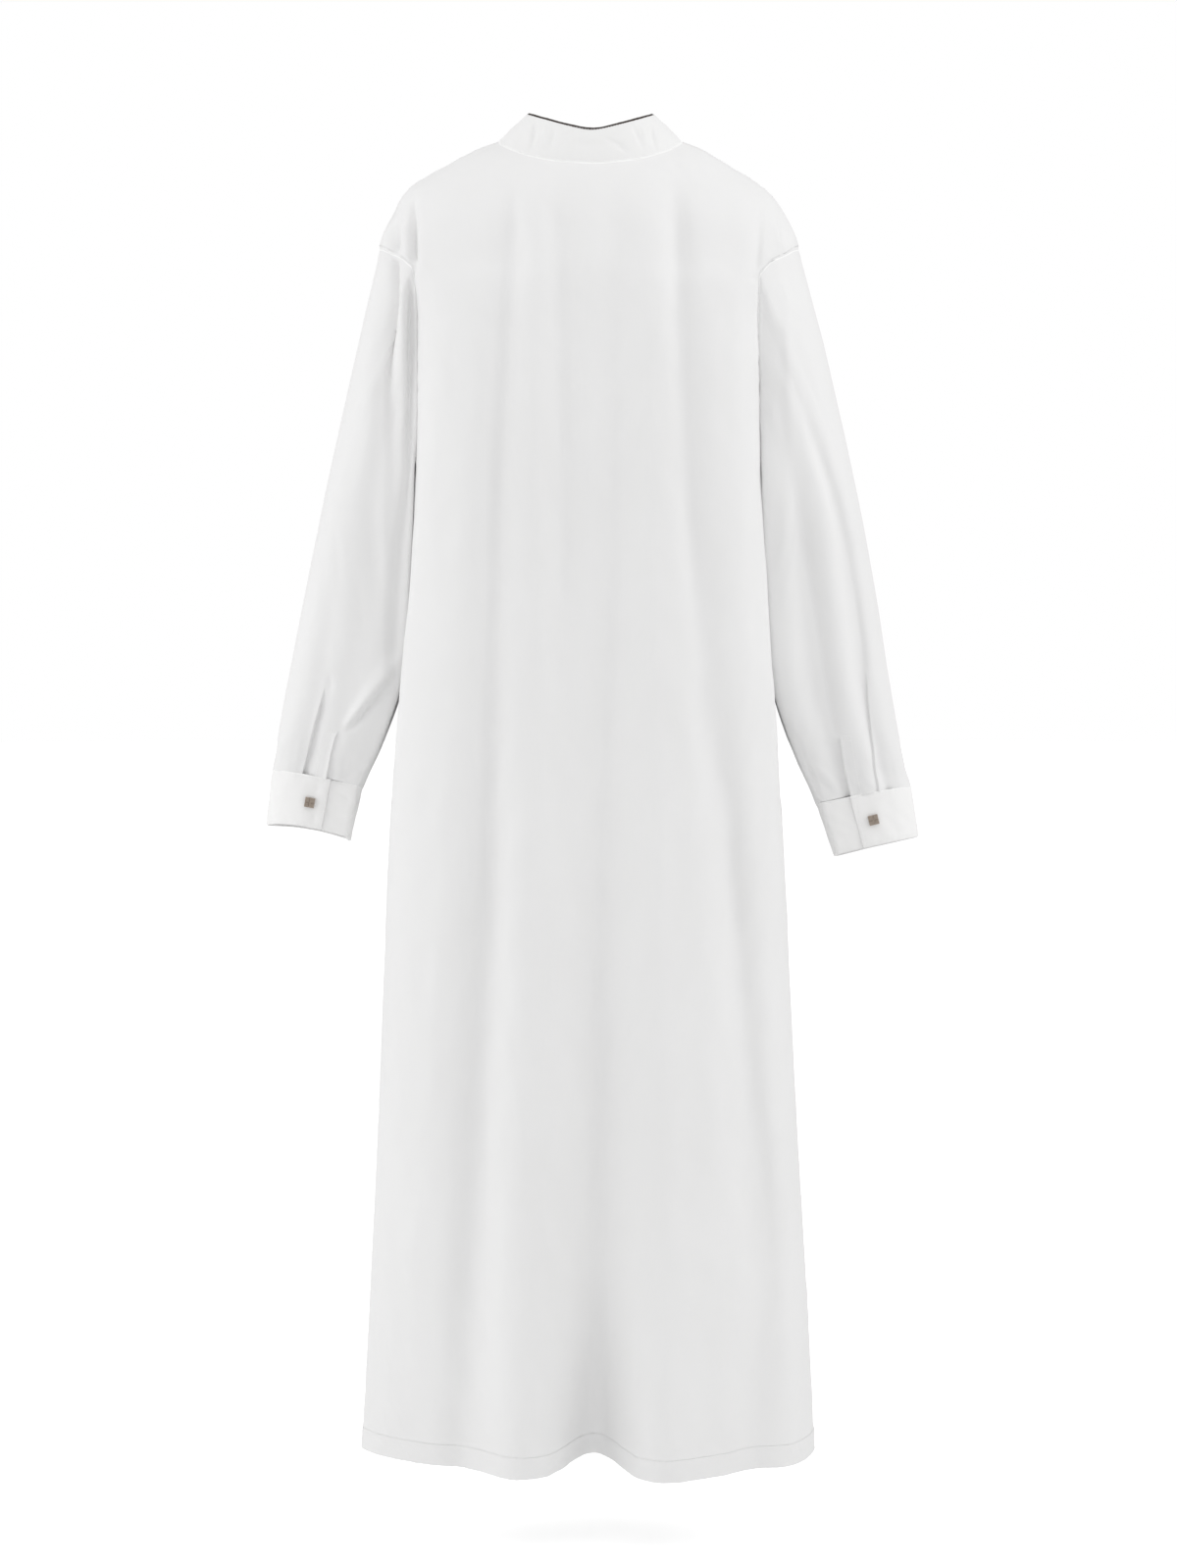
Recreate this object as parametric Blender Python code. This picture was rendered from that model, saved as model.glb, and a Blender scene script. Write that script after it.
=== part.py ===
"""Long white robe in its worn, hollow form, made from the cloth pieces a maker sews together.

Frame: the origin lies midway between the two points where the shoulders meet the neck.
+X is the wearer's left, +Y the wearer's back, +Z up. Tables are in millimetres, the mesh in metres.
"""

import math
from typing import NamedTuple

import bpy
import numpy as np

MM = 0.001
SEAM_GAP = 0.3  # between two pieces sewn edge to edge
PANEL_WALL = 1.6  # back, front and sleeves
BAND_WALL = 2.4  # collar and cuffs, which are doubled
STRIP_WALL = 1.4  # placket strips

PANEL_COLUMNS = 32  # across the back, and across the front
SHOULDER_STEPS = 8  # rows from the neck to the top of the armhole
ARMHOLE_STEPS = 9  # rows from there to the underarm
SKIRT_STEPS = 15  # rows from the underarm to the hem
ARMHOLE_COLUMNS = 4  # columns that the armhole takes from each side of a panel
SLEEVE_STEPS = (5, 11)  # rows over the sleeve cap, and from the bicep to the cuff

NECK_SWEEP = 1.3  # how late a ring drops from its side to its middle
COLLAR_SWEEP = 2.8  # the same for the collar's top edge
CORNER_ANGLE = math.radians(24)  # where the side folds of the panels stand out
CORNER_SPREAD = math.radians(13)

FRONT_SLIT_ROWS = 17  # rows of the front that the neck slit opens
SLIT_WIDTH = 1.2
PLACKET_HALF = 16.0
CUFF_SLIT_ROWS = 4  # rows of a sleeve that the cuff slit opens
CUFF_COLUMNS = 40
CUFF_ROWS = 3
COLLAR_ROWS = 3
COLLAR_BOW = 4.5  # how far the collar bows out between its seam and its top edge
COLLAR_LAP = 2  # columns by which the collar's left end laps over its right end

STUD_SIDE = 11.5
STUD_HEIGHT = 2.6
STUD_GROOVE = 1.1
POST_RADIUS = 1.8
HOLE_RADIUS = 2.3
PLATE_RADIUS = 5.0
PLATE_HEIGHT = 1.4


class BodyRing(NamedTuple):
    """One level round the body. Half width and depths are taken from centre_x and the XZ plane."""

    name: str
    centre_x: float
    side_x: float
    side_z: float
    back_y: float
    back_z: float
    front_y: float
    front_z: float
    side_square: float  # 1 is an ellipse, less is boxier, more is pointed
    right_square: float  # the same for the wearer's right half
    back_square: float
    corner: float  # how far the fold beside the arm stands out


BODY = (
    BodyRing("neck", -2, 98.0, -5, 72, -38.5, 60, -82, 1.00, 1.00, 1.00, 0),
    BodyRing("yoke", -1, 122.0, -14.5, 86, -52, 77, -104, 0.98, 0.98, 0.98, 0),
    BodyRing("shoulder", 1, 152.5, -32, 99, -70, 93, -128, 0.94, 0.94, 0.93, 0),
    BodyRing("tip", 2, 186.5, -53, 108, -92, 103, -152, 0.90, 0.90, 0.86, 0),
    BodyRing("drop", 0, 206.0, -77, 114, -116, 109, -172, 0.90, 0.90, 0.80, 0),
    BodyRing("armhole", -0.5, 223.5, -121, 119, -145, 114, -188, 0.94, 0.94, 0.76, 0),
    BodyRing("corner", 0, 200.0, -150, 121, -170, 116, -205, 0.58, 0.58, 0.69, 0),
    BodyRing("blade", 0, 187.0, -190, 122, -207, 118, -228, 0.42, 0.42, 0.63, 0),
    BodyRing("chest", 0, 184.0, -250, 123, -260, 119, -272, 0.36, 0.36, 0.58, 0),
    BodyRing("underarm", 0, 184.0, -345, 122, -349, 118, -351, 0.36, 0.36, 0.56, 1),
    BodyRing("waist", 0, 186.0, -483, 118, -483, 116, -483, 0.38, 0.38, 0.57, 7),
    BodyRing("wrist", 2, 199.0, -617, 117, -617, 115, -617, 0.44, 0.44, 0.61, 6),
    BodyRing("hip", 2.5, 208.0, -720, 118, -720, 117, -720, 0.56, 0.56, 0.69, 2),
    BodyRing("thigh", 2, 217.0, -905, 118, -905, 119, -905, 0.72, 0.66, 0.82, 0),
    BodyRing("knee", 1.5, 224.5, -1080, 116, -1080, 118, -1080, 0.90, 0.72, 0.96, 0),
    BodyRing("calf", 1, 234.0, -1262, 112, -1264, 116, -1264, 1.12, 0.64, 1.12, 0),
    BodyRing("hem", 1, 241.5, -1402, 108, -1407, 113, -1408, 1.34, 0.48, 1.22, 0),
)
ARMHOLE_RING = 5
UNDERARM_RING = 9

FOLD_LEVELS = (-60, -400, -800, -1200, -1430)


class Fold(NamedTuple):
    """A long soft fold. x and out hold one number for each of FOLD_LEVELS; out is negative for a trough."""

    name: str
    x: tuple
    out: tuple
    width: tuple  # at the first and at the last level


BACK_FOLDS = (
    Fold("left_trough", (77, 97, 104, 121, 130), (-6, -8, -13, -13, -8), (17, 27)),
    Fold("left_middle", (26, 24, 24, 26, 26), (-5, -6, -1, 0, 0), (17, 24)),
    Fold("middle", (-28, -28, -15, -10, -7), (-4, -6, -12, -22, -60), (17, 37)),
    Fold("right_trough", (-91, -106, -152, -180, -176), (-6, -8, -13, -12, -9), (17, 27)),
    Fold("left_ridge", (60, 62, 62, 74, 80), (2, 3, 5, 10, 27), (20, 42)),
    Fold("right_ridge", (-60, -66, -72, -78, -79), (2, 3, 5, 10, 26), (20, 42)),
)
FRONT_FOLDS = (
    Fold("left_trough", (92, 101, 120, 140, 150), (-4, -8, -12, -15, -14), (18, 28)),
    Fold("left_middle", (38, 40, 44, 48, 46), (-2, -5, -9, -16, -24), (17, 26)),
    Fold("right_middle", (-44, -46, -52, -60, -66), (-2, -5, -10, -14, -20), (17, 26)),
    Fold("right_trough", (-90, -99, -126, -152, -160), (-4, -8, -12, -14, -12), (18, 27)),
    Fold("middle_ridge", (0, 0, -2, -4, -6), (0, 2, 5, 10, 16), (20, 38)),
    Fold("left_ridge", (70, 74, 84, 94, 98), (1, 3, 5, 8, 14), (20, 36)),
)
FOLD_MARGIN = 42  # folds fade out this far from a side edge
HEM_LIFT = 0.22  # how much of a trough's depth the hem rises by


class SleeveRing(NamedTuple):
    """One level round a left sleeve: its outer and inner points, and how it stands front to back."""

    name: str
    outer_x: float
    outer_z: float
    inner_x: float
    inner_z: float
    centre_y: float
    depth: float  # half its size along Y
    back_rise: float  # how much higher its back is than its middle
    square: float


LEFT_SLEEVE = (
    SleeveRing("bicep", 277, -362, 191.0, -382, -3, 78, 2, 0.86),
    SleeveRing("elbow", 302, -481, 192.5, -486, -9, 62, 3, 0.84),
    SleeveRing("forearm", 321, -575, 197.5, -580, -15, 56, 4, 0.84),
    SleeveRing("lower", 334, -643, 218.0, -650, -19, 49, 5, 0.86),
    SleeveRing("seam", 338, -680, 242.5, -699, -21, 31, 5, 0.92),
)
RIGHT_SLEEVE = (
    SleeveRing("bicep", 281.5, -364, 191.0, -384, -3, 78, 2, 0.86),
    SleeveRing("elbow", 306, -484, 192.5, -488, -8, 62, 3, 0.84),
    SleeveRing("forearm", 323, -586, 197.5, -592, -13, 56, 4, 0.84),
    SleeveRing("lower", 337, -660, 219.0, -665, -17, 49, 5, 0.86),
    SleeveRing("seam", 345, -698, 244.5, -717, -19, 31, 5, 0.92),
)
LEFT_CUFF_END = SleeveRing("end", 345, -735, 255.0, -752, -24, 31, 3, 0.92)
RIGHT_CUFF_END = SleeveRing("end", 353, -748, 263.0, -771, -22, 31, 3, 0.92)


class SleeveFold(NamedTuple):
    """A fold along a sleeve. Angles run from its outer line (0) over the back (90) to its inner line (180)."""

    name: str
    angle_top: float
    angle_cuff: float
    spread: float
    out_top: float
    out_middle: float
    out_cuff: float


LEFT_SLEEVE_FOLDS = (
    SleeveFold("body_side", 128, 140, 15, -7, -9, -2),
    SleeveFold("pleat", 62, 74, 12, 0, -3, -4),
    SleeveFold("slit_fold", 112, 112, 13, 0, 3, 2),
    SleeveFold("front", 250, 262, 16, -3, -7, -3),
    SleeveFold("front_inner", 212, 220, 14, -2, -5, -2),
)
RIGHT_SLEEVE_FOLDS = (
    SleeveFold("crown", 0, 0, 34, 3, 0, 0),
    SleeveFold("long", 72, 62, 11, -5, -6, -4),
    SleeveFold("slit_trough", 106, 106, 12, -2, -7, -3),
    SleeveFold("outer_ridge", 88, 84, 11, 1, 3, 2),
    SleeveFold("front", 256, 266, 16, -3, -7, -3),
    SleeveFold("front_inner", 214, 222, 14, -2, -5, -2),
)

COLLAR_TOP = BodyRing("top", -2, 67.0, 24.5, 60, -1.5, 50, -43, 1.00, 1.00, 1.00, 0)
CUFF_LAP_EDGE = 106.0  # angle of the visible edge where a cuff laps over itself
CUFF_LAP = 38.0  # degrees of lap
CUFF_LIFT = BAND_WALL + 0.5  # how far the lap stands off the layer below
STUD_SETBACK = 18.0  # degrees from the lap edge to the stud

WHITE = (0.86, 0.86, 0.85, 1.0)
METAL = (0.42, 0.38, 0.33, 1.0)


def smooth_row(rows, at):
    """The table's numbers at a place counted in rows, on a smooth curve through them."""
    table = np.array([row[1:] for row in rows], float)
    i = min(int(at), len(rows) - 2)
    t = at - i
    before, start = table[max(i - 1, 0)], table[i]
    end, after = table[i + 1], table[min(i + 2, len(rows) - 1)]
    lean_in, lean_out = (end - before) / 2, (after - start) / 2
    cube, square = t**3, t**2
    values = (
        (2 * cube - 3 * square + 1) * start
        + (cube - 2 * square + t) * lean_in
        + (3 * square - 2 * cube) * end
        + (cube - square) * lean_out
    )
    return type(rows[0])("", *values)


def power(value, exponent):
    return math.copysign(abs(value) ** exponent, value)


def ring_point(ring, angle, sweep=NECK_SWEEP):
    """A point on a body ring. The angle runs from the left side (0) over the back (90 degrees)."""
    c, s = math.cos(angle), math.sin(angle)
    depth, end_z = (ring.back_y, ring.back_z) if s >= 0 else (ring.front_y, ring.front_z)
    from_side = min(abs(angle % math.pi), math.pi - angle % math.pi)
    stand_out = ring.corner * math.exp(-(((from_side - CORNER_ANGLE) / CORNER_SPREAD) ** 2))
    square = ring.side_square if c >= 0 else ring.right_square
    x = ring.side_x * power(c, square) + math.copysign(stand_out, c)
    y = depth * power(s, ring.back_square)
    z = ring.side_z + (end_z - ring.side_z) * abs(s) ** sweep
    return np.array([ring.centre_x + x, y, z])


def fold_out(folds, point, half_width):
    """How far the folds move a point of a panel outwards."""
    x, _, z = point
    levels = [-level for level in FOLD_LEVELS]
    share = np.interp(-z, (levels[0], levels[-1]), (0, 1))
    start = np.interp(-z, (30, 110), (0, 1))
    total = 0.0
    for fold in folds:
        at = np.interp(-z, levels, fold.x)
        out = np.interp(-z, levels, fold.out)
        width = fold.width[0] + (fold.width[1] - fold.width[0]) * share
        total += out * math.exp(-(((x - at) / width) ** 2))
    edge = np.clip((half_width - abs(x)) / FOLD_MARGIN, 0, 1)
    return total * start * edge * edge * (3 - 2 * edge)


def row_places():
    """Where the rows of a panel lie, counted in rings, from the neck to the hem."""
    top = np.linspace(0, ARMHOLE_RING, SHOULDER_STEPS, endpoint=False)
    arm = np.linspace(ARMHOLE_RING, UNDERARM_RING, ARMHOLE_STEPS, endpoint=False)
    skirt = np.linspace(UNDERARM_RING, len(BODY) - 1, SKIRT_STEPS + 1)
    return [*top, *arm, *skirt]


def panel_row(at, is_back):
    """One row of a panel, its points the same distance apart, from the left edge to the right edge."""
    ring = smooth_row(BODY, at)
    angles = np.linspace(0, math.pi if is_back else -math.pi, 361)
    dense = np.array([ring_point(ring, angle) for angle in angles])
    steps = np.linalg.norm(np.diff(dense, axis=0), axis=1)
    along = np.concatenate([[0], np.cumsum(steps)])
    wanted = np.linspace(0, along[-1], PANEL_COLUMNS + 1)
    points = np.stack([np.interp(wanted, along, dense[:, axis]) for axis in range(3)], axis=1)
    folds = BACK_FOLDS if is_back else FRONT_FOLDS
    side = 1 if is_back else -1
    for point in points:
        out = fold_out(folds, point - [ring.centre_x, 0, 0], ring.side_x)
        point[1] += side * out
        point[2] -= HEM_LIFT * min(out, 0) * np.interp(-point[2], (1250, 1400), (0, 1))
    return points


def panel_grid(is_back):
    return np.array([panel_row(at, is_back) for at in row_places()])


def in_armhole(i, j):
    """Whether the face of a panel at row i and column j falls in an armhole."""
    from_edge = min(j, PANEL_COLUMNS - 1 - j)
    return 0 <= i - SHOULDER_STEPS < ARMHOLE_STEPS and from_edge < ARMHOLE_COLUMNS


def armhole_path():
    """(row, column) of a panel's points round one armhole, from the shoulder seam to the side seam."""
    top, low = SHOULDER_STEPS, SHOULDER_STEPS + ARMHOLE_STEPS
    path = [(top, j) for j in range(ARMHOLE_COLUMNS)]
    path += [(i, ARMHOLE_COLUMNS) for i in range(top, low + 1)]
    return path + [(low, j) for j in reversed(range(ARMHOLE_COLUMNS))]


def panel_quads(flip):
    every = grid_quads(len(row_places()), PANEL_COLUMNS + 1, flip)
    return [q for k, q in enumerate(every) if not in_armhole(*divmod(k, PANEL_COLUMNS))]


def grid_quads(rows, columns, flip=False):
    """The faces of a grid of points stored row by row."""
    quads = []
    for i in range(rows - 1):
        for j in range(columns - 1):
            a, b = i * columns + j, i * columns + j + 1
            quad = (a, b, b + columns, a + columns)
            quads.append(quad[::-1] if flip else quad)
    return quads


def normals_of(points, quads):
    """Unit normals at the points, each the mean of the faces round it."""
    normals = np.zeros_like(points)
    for quad in quads:
        a, b, c, d = (points[i] for i in quad)
        across = np.cross(c - a, d - b)
        for i in quad:
            normals[i] += across
    length = np.linalg.norm(normals, axis=1, keepdims=True)
    return normals / np.where(length > 0, length, 1)


def material(name, colour, roughness, metallic):
    made = bpy.data.materials.new(name)
    made.use_nodes = True
    shader = made.node_tree.nodes["Principled BSDF"]
    shader.inputs["Base Color"].default_value = colour
    shader.inputs["Roughness"].default_value = roughness
    shader.inputs["Metallic"].default_value = metallic
    return made


def add_object(name, points, faces, look):
    mesh = bpy.data.meshes.new(name)
    mesh.from_pydata([tuple(point * MM) for point in points], [], faces)
    mesh.materials.append(material(name, *look))
    mesh.update()
    made = bpy.data.objects.new(name, mesh)
    bpy.context.scene.collection.objects.link(made)
    return made


def shell(name, points, quads, wall, look, normals=None):
    """A sheet of even thickness: the given outer side, an inner side, and a rim along every free edge."""
    if normals is None:
        normals = normals_of(points, quads)
    used = sorted({i for quad in quads for i in quad})
    place = {i: k for k, i in enumerate(used)}
    quads = [tuple(place[i] for i in quad) for quad in quads]
    points, normals, count = points[used], normals[used], len(used)
    inner = points - wall * normals
    faces = [tuple(quad) for quad in quads]
    faces += [tuple(i + count for i in reversed(quad)) for quad in quads]
    edges = set()
    for quad in quads:
        for a, b in zip(quad, (*quad[1:], quad[0])):
            if (b, a) in edges:
                edges.remove((b, a))
            else:
                edges.add((a, b))
    for a, b in sorted(edges):
        faces.append((b, a, a + count, b + count))
    return add_object(name, np.concatenate([points, inner]), faces, look)


CLOTH = (WHITE, 0.82, 0.0)
STUD = (METAL, 0.32, 1.0)


def slit_grid(points, quads, columns, column, rows):
    """Opens a grid along one column, over the given rows, into a slit of SLIT_WIDTH."""
    points = [point.copy() for point in points]
    twins = {}
    for row in rows:
        here = row * columns + column
        across = points[here + 1] - points[here - 1]
        step = across / np.linalg.norm(across) * SLIT_WIDTH / 2
        twins[here] = len(points)
        points.append(points[here] + step)
        points[here] = points[here] - step
    opened = []
    for quad in quads:
        beyond = any(i % columns > column for i in quad)
        opened.append(tuple(twins.get(i, i) if beyond else i for i in quad))
    return np.array(points), opened


def body_panels():
    """The back and the front, with the same normals along the seams they share."""
    grids = {True: panel_grid(True), False: panel_grid(False)}
    rows, columns = grids[True].shape[:2]
    quads = {True: panel_quads(flip=True), False: panel_quads(flip=False)}
    normals = {}
    for is_back, grid in grids.items():
        normals[is_back] = normals_of(grid.reshape(-1, 3), quads[is_back]).reshape(grid.shape)
    for i in range(rows):
        if SHOULDER_STEPS < i < SHOULDER_STEPS + ARMHOLE_STEPS:
            continue
        for j in (0, columns - 1):
            shared = normals[True][i, j] + normals[False][i, j]
            shared /= np.linalg.norm(shared)
            normals[True][i, j] = normals[False][i, j] = shared
            grids[True][i, j, 1] += SEAM_GAP / 2
            grids[False][i, j, 1] -= SEAM_GAP / 2
    return grids, quads, normals


def build_panels(grids, quads, normals):
    columns = PANEL_COLUMNS + 1
    shell(
        "back",
        grids[True].reshape(-1, 3),
        quads[True],
        PANEL_WALL,
        CLOTH,
        normals[True].reshape(-1, 3),
    )
    flat = grids[False].reshape(-1, 3)
    flat_normals = normals[False].reshape(-1, 3)
    middle = PANEL_COLUMNS // 2
    points, opened = slit_grid(flat, quads[False], columns, middle, range(FRONT_SLIT_ROWS))
    extra = [flat_normals[row * columns + middle] for row in range(FRONT_SLIT_ROWS)]
    all_normals = np.concatenate([flat_normals, extra])
    shell("front", points, opened, PANEL_WALL, CLOTH, all_normals)
    build_front_placket(grids[False], normals[False], middle)


def build_front_placket(grid, normals, middle):
    """The strip that hides the neck slit, laid on the rows of the front."""
    points, outs = [], []
    offsets = np.linspace(-PLACKET_HALF, PLACKET_HALF, 5)
    rows = [0.12 * grid[1] + 0.88 * grid[0], *grid[1 : FRONT_SLIT_ROWS + 1]]
    for row, out in zip(rows, normals):
        centre = row[middle, 0]
        for offset in offsets:
            at = np.interp(-(centre + offset), -row[:, 0], np.arange(len(row)))
            low, share = int(at), at - int(at)
            normal = (1 - share) * out[low] + share * out[low + 1]
            normal /= np.linalg.norm(normal)
            point = (1 - share) * row[low] + share * row[low + 1]
            points.append(point + normal * (2 * SEAM_GAP + STRIP_WALL))
            outs.append(normal)
    quads = grid_quads(len(rows), len(offsets), flip=True)
    shell("front_placket", np.array(points), quads, STRIP_WALL, CLOTH, np.array(outs))


def sleeve_ring_point(ring, angle, mirror):
    """A point on a sleeve ring. The angle runs from the outer line (0) over the back (90 degrees)."""
    c, s = power(math.cos(angle), ring.square), power(math.sin(angle), ring.square)
    x = (ring.outer_x + ring.inner_x) / 2 + c * (ring.outer_x - ring.inner_x) / 2
    z = (ring.outer_z + ring.inner_z) / 2 + c * (ring.outer_z - ring.inner_z) / 2
    z += s * ring.back_rise
    return np.array([mirror * x, ring.centre_y + s * ring.depth, z])


def ring_out(ring, angle, mirror):
    """The outward direction at a point of a sleeve ring, in the ring's own plane."""
    point = sleeve_ring_point(ring, angle, mirror)
    along = sleeve_ring_point(ring, angle + 0.02, mirror) - sleeve_ring_point(
        ring, angle - 0.02, mirror
    )
    outer, inner = sleeve_ring_point(ring, 0, mirror), sleeve_ring_point(ring, math.pi, mirror)
    across = outer - inner
    forward = np.array([0, ring.depth, ring.back_rise])
    out = np.cross(along, np.cross(across, forward))
    out /= np.linalg.norm(out)
    return out if out.dot(point - (outer + inner) / 2) > 0 else -out


def sleeve_fold_out(folds, angle, share):
    """How far the folds move a point of a sleeve outwards; share runs from the armhole (0) to the cuff (1)."""
    degrees = math.degrees(angle)
    total = 0.0
    for fold in folds:
        at = np.interp(share, (0, 1), (fold.angle_top, fold.angle_cuff))
        out = np.interp(share, (0, 0.12, 0.6, 1), (0, fold.out_top, fold.out_middle, fold.out_cuff))
        away = (degrees - at + 180) % 360 - 180
        total += out * math.exp(-((away / fold.spread) ** 2))
    return total


def armhole_loop(grids, panel_normals, mirror):
    """The panels' edges round one armhole, as one ring, and the panels' normals there."""
    rows, columns = np.array(armhole_path()).T
    if mirror < 0:
        columns = PANEL_COLUMNS - columns
    rings = []
    for values in (grids, panel_normals):
        back, front = values[True][rows, columns], values[False][rows, columns]
        rings.append(np.concatenate([back, front[-2:0:-1]]))
    rings[0][[0, len(rows) - 1], 1] = 0.0
    return rings


def seam_step(loop, normals, sleeve_normals):
    """How a sleeve's first ring stands off the armhole: into the hole, and outwards where it folds back."""
    along = np.roll(loop, -1, axis=0) - np.roll(loop, 1, axis=0)
    step = np.cross(along, normals)
    step /= np.linalg.norm(step, axis=1, keepdims=True)
    to_centre = loop.mean(axis=0) - loop
    step *= np.sign(np.sum(step * to_centre, axis=1, keepdims=True))
    fold_back = np.clip(-np.sum(normals * sleeve_normals, axis=1, keepdims=True), 0, 1)
    step += fold_back * normals
    return step / np.linalg.norm(step, axis=1, keepdims=True) * SEAM_GAP * 2


def through(knots, places, at):
    """A point list at a place on the smooth curves that run through several lists of points."""
    i = min(max(int(np.searchsorted(places, at, side="right")) - 1, 0), len(places) - 2)
    span = places[i + 1] - places[i]
    t = (at - places[i]) / span
    slopes = [(knots[k + 1] - knots[k]) / (places[k + 1] - places[k]) for k in range(len(knots) - 1)]
    first = slopes[i] if i == 0 else (slopes[i - 1] + slopes[i]) / 2
    last = slopes[i] if i == len(slopes) - 1 else (slopes[i] + slopes[i + 1]) / 2
    cube, square = t**3, t**2
    return (
        (2 * cube - 3 * square + 1) * knots[i]
        + (cube - 2 * square + t) * span * first
        + (3 * square - 2 * cube) * knots[i + 1]
        + (cube - square) * span * last
    )


def sleeve_rows(loop, rings, folds, mirror):
    """The rows of a sleeve from the armhole to the cuff seam, on smooth curves through its rings."""
    around = len(loop)
    angles = [2 * math.pi * i / around for i in range(around)]
    knots = [loop]
    knots += [np.array([sleeve_ring_point(r, angle, mirror) for angle in angles]) for r in rings]
    gaps = [np.linalg.norm(b - a, axis=1).mean() for a, b in zip(knots, knots[1:])]
    places = np.concatenate([[0], np.cumsum(gaps)])
    cap_steps, arm_steps = SLEEVE_STEPS
    at_rings = [i / cap_steps for i in range(cap_steps)]
    at_rings += [1 + (len(rings) - 1) * i / arm_steps for i in range(arm_steps + 1)]
    total = len(at_rings) - 1
    rows = []
    for i, at in enumerate(at_rings):
        row = through(knots, places, np.interp(at, range(len(places)), places))
        if i > 0:
            ring = smooth_row(rings, max(0.0, at - 1))
            for j, angle in enumerate(angles):
                row[j] += ring_out(ring, angle, mirror) * sleeve_fold_out(folds, angle, i / total)
        rows.append(row)
    return np.array(rows), angles


def closed_quads(rows, around, flip):
    quads = []
    for i in range(rows - 1):
        for j in range(around):
            a, b = i * around + j, i * around + (j + 1) % around
            quad = (a, b, b + around, a + around)
            quads.append(quad[::-1] if flip else quad)
    return quads


def join_normals(panel_normals, sleeve_normals, mirror):
    """Gives a sleeve and the panels one mitred rim where they run on into each other."""
    path = armhole_path()
    last = len(path) - 1
    for k in range(2 * last):
        is_back = k <= last
        row, column = path[k if is_back else 2 * last - k]
        column = column if mirror > 0 else PANEL_COLUMNS - column
        panel, sleeve = panel_normals[is_back][row, column], sleeve_normals[0, k]
        if row < path[-1][0] and panel.dot(sleeve) > 0.3:
            shared = (panel + sleeve) / np.linalg.norm(panel + sleeve)
            panel_normals[is_back][row, column] = sleeve_normals[0, k] = shared
            if column in (0, PANEL_COLUMNS):
                panel_normals[False][row, column] = shared


def build_sleeve(side, grids, panel_normals, rings, folds, mirror):
    loop, edge_normals = armhole_loop(grids, panel_normals, mirror)
    rows, angles = sleeve_rows(loop, rings, folds, mirror)
    count, around = rows.shape[:2]
    quads = closed_quads(count, around, flip=mirror > 0)
    normals = normals_of(rows.reshape(-1, 3), quads)
    rows[0] += seam_step(loop, edge_normals, normals[:around])
    points = rows.reshape(-1, 3)
    normals[-around:] = [ring_out(rings[-1], angle, mirror) for angle in angles]
    join_normals(panel_normals, normals.reshape(rows.shape), mirror)
    column = min(range(around), key=lambda j: abs(math.degrees(angles[j]) - CUFF_LAP_EDGE))
    slit = range(count - CUFF_SLIT_ROWS, count)
    extra = [normals[row * around + column] for row in slit]
    opened_points, opened = slit_ring(points, quads, around, column, slit)
    shell(
        f"sleeve_{side}",
        opened_points,
        opened,
        PANEL_WALL,
        CLOTH,
        np.concatenate([normals, extra]),
    )
    build_sleeve_placket(side, rows, normals.reshape(rows.shape), column, mirror)


def slit_ring(points, quads, around, column, rows):
    """Opens a closed sleeve grid along one column, over the given rows."""
    points = [point.copy() for point in points]
    twins = {}
    for row in rows:
        here = row * around + column
        across = points[here + 1] - points[here - 1]
        step = across / np.linalg.norm(across) * SLIT_WIDTH / 2
        twins[here] = len(points)
        points.append(points[here] + step)
        points[here] = points[here] - step
    opened = []
    for quad in quads:
        beyond = any(i % around == column + 1 for i in quad)
        opened.append(tuple(twins.get(i, i) if beyond else i for i in quad))
    return np.array(points), opened


def build_sleeve_placket(side, rows, normals, column, mirror):
    """The strip behind the cuff slit, inside the sleeve and parallel to it."""
    first = rows.shape[0] - CUFF_SLIT_ROWS - 1
    span = slice(column - 1, column + 2)
    strip = rows[first:, span].copy()
    inward = normals[first:, span]
    strip[:, 0] += 0.35 * (strip[:, 1] - strip[:, 0])
    strip[:, 2] += 0.35 * (strip[:, 1] - strip[:, 2])
    strip[-1] += 0.15 * (strip[-2] - strip[-1])
    strip -= inward * (PANEL_WALL + 2 * SEAM_GAP)
    count, columns = strip.shape[:2]
    quads = grid_quads(count, columns, flip=mirror > 0)
    shell(
        f"sleeve_placket_{side}",
        strip.reshape(-1, 3),
        quads,
        STRIP_WALL,
        CLOTH,
        inward.reshape(-1, 3),
    )


def cuff_point(top, end, share, angle, lift, mirror):
    """A point on a cuff; lift moves it out from the sleeve's own line."""
    mixed = SleeveRing("", *((1 - share) * np.array(top[1:]) + share * np.array(end[1:])))
    out = ring_out(mixed, angle, mirror)
    return sleeve_ring_point(mixed, angle, mirror) + lift * out, out


def cuff_lift(turned):
    """The lift of a cuff after so many degrees from its under end."""
    return CUFF_LIFT * float(np.clip((turned - CUFF_LAP) / (360 - 2 * CUFF_LAP), 0, 1))


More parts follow.
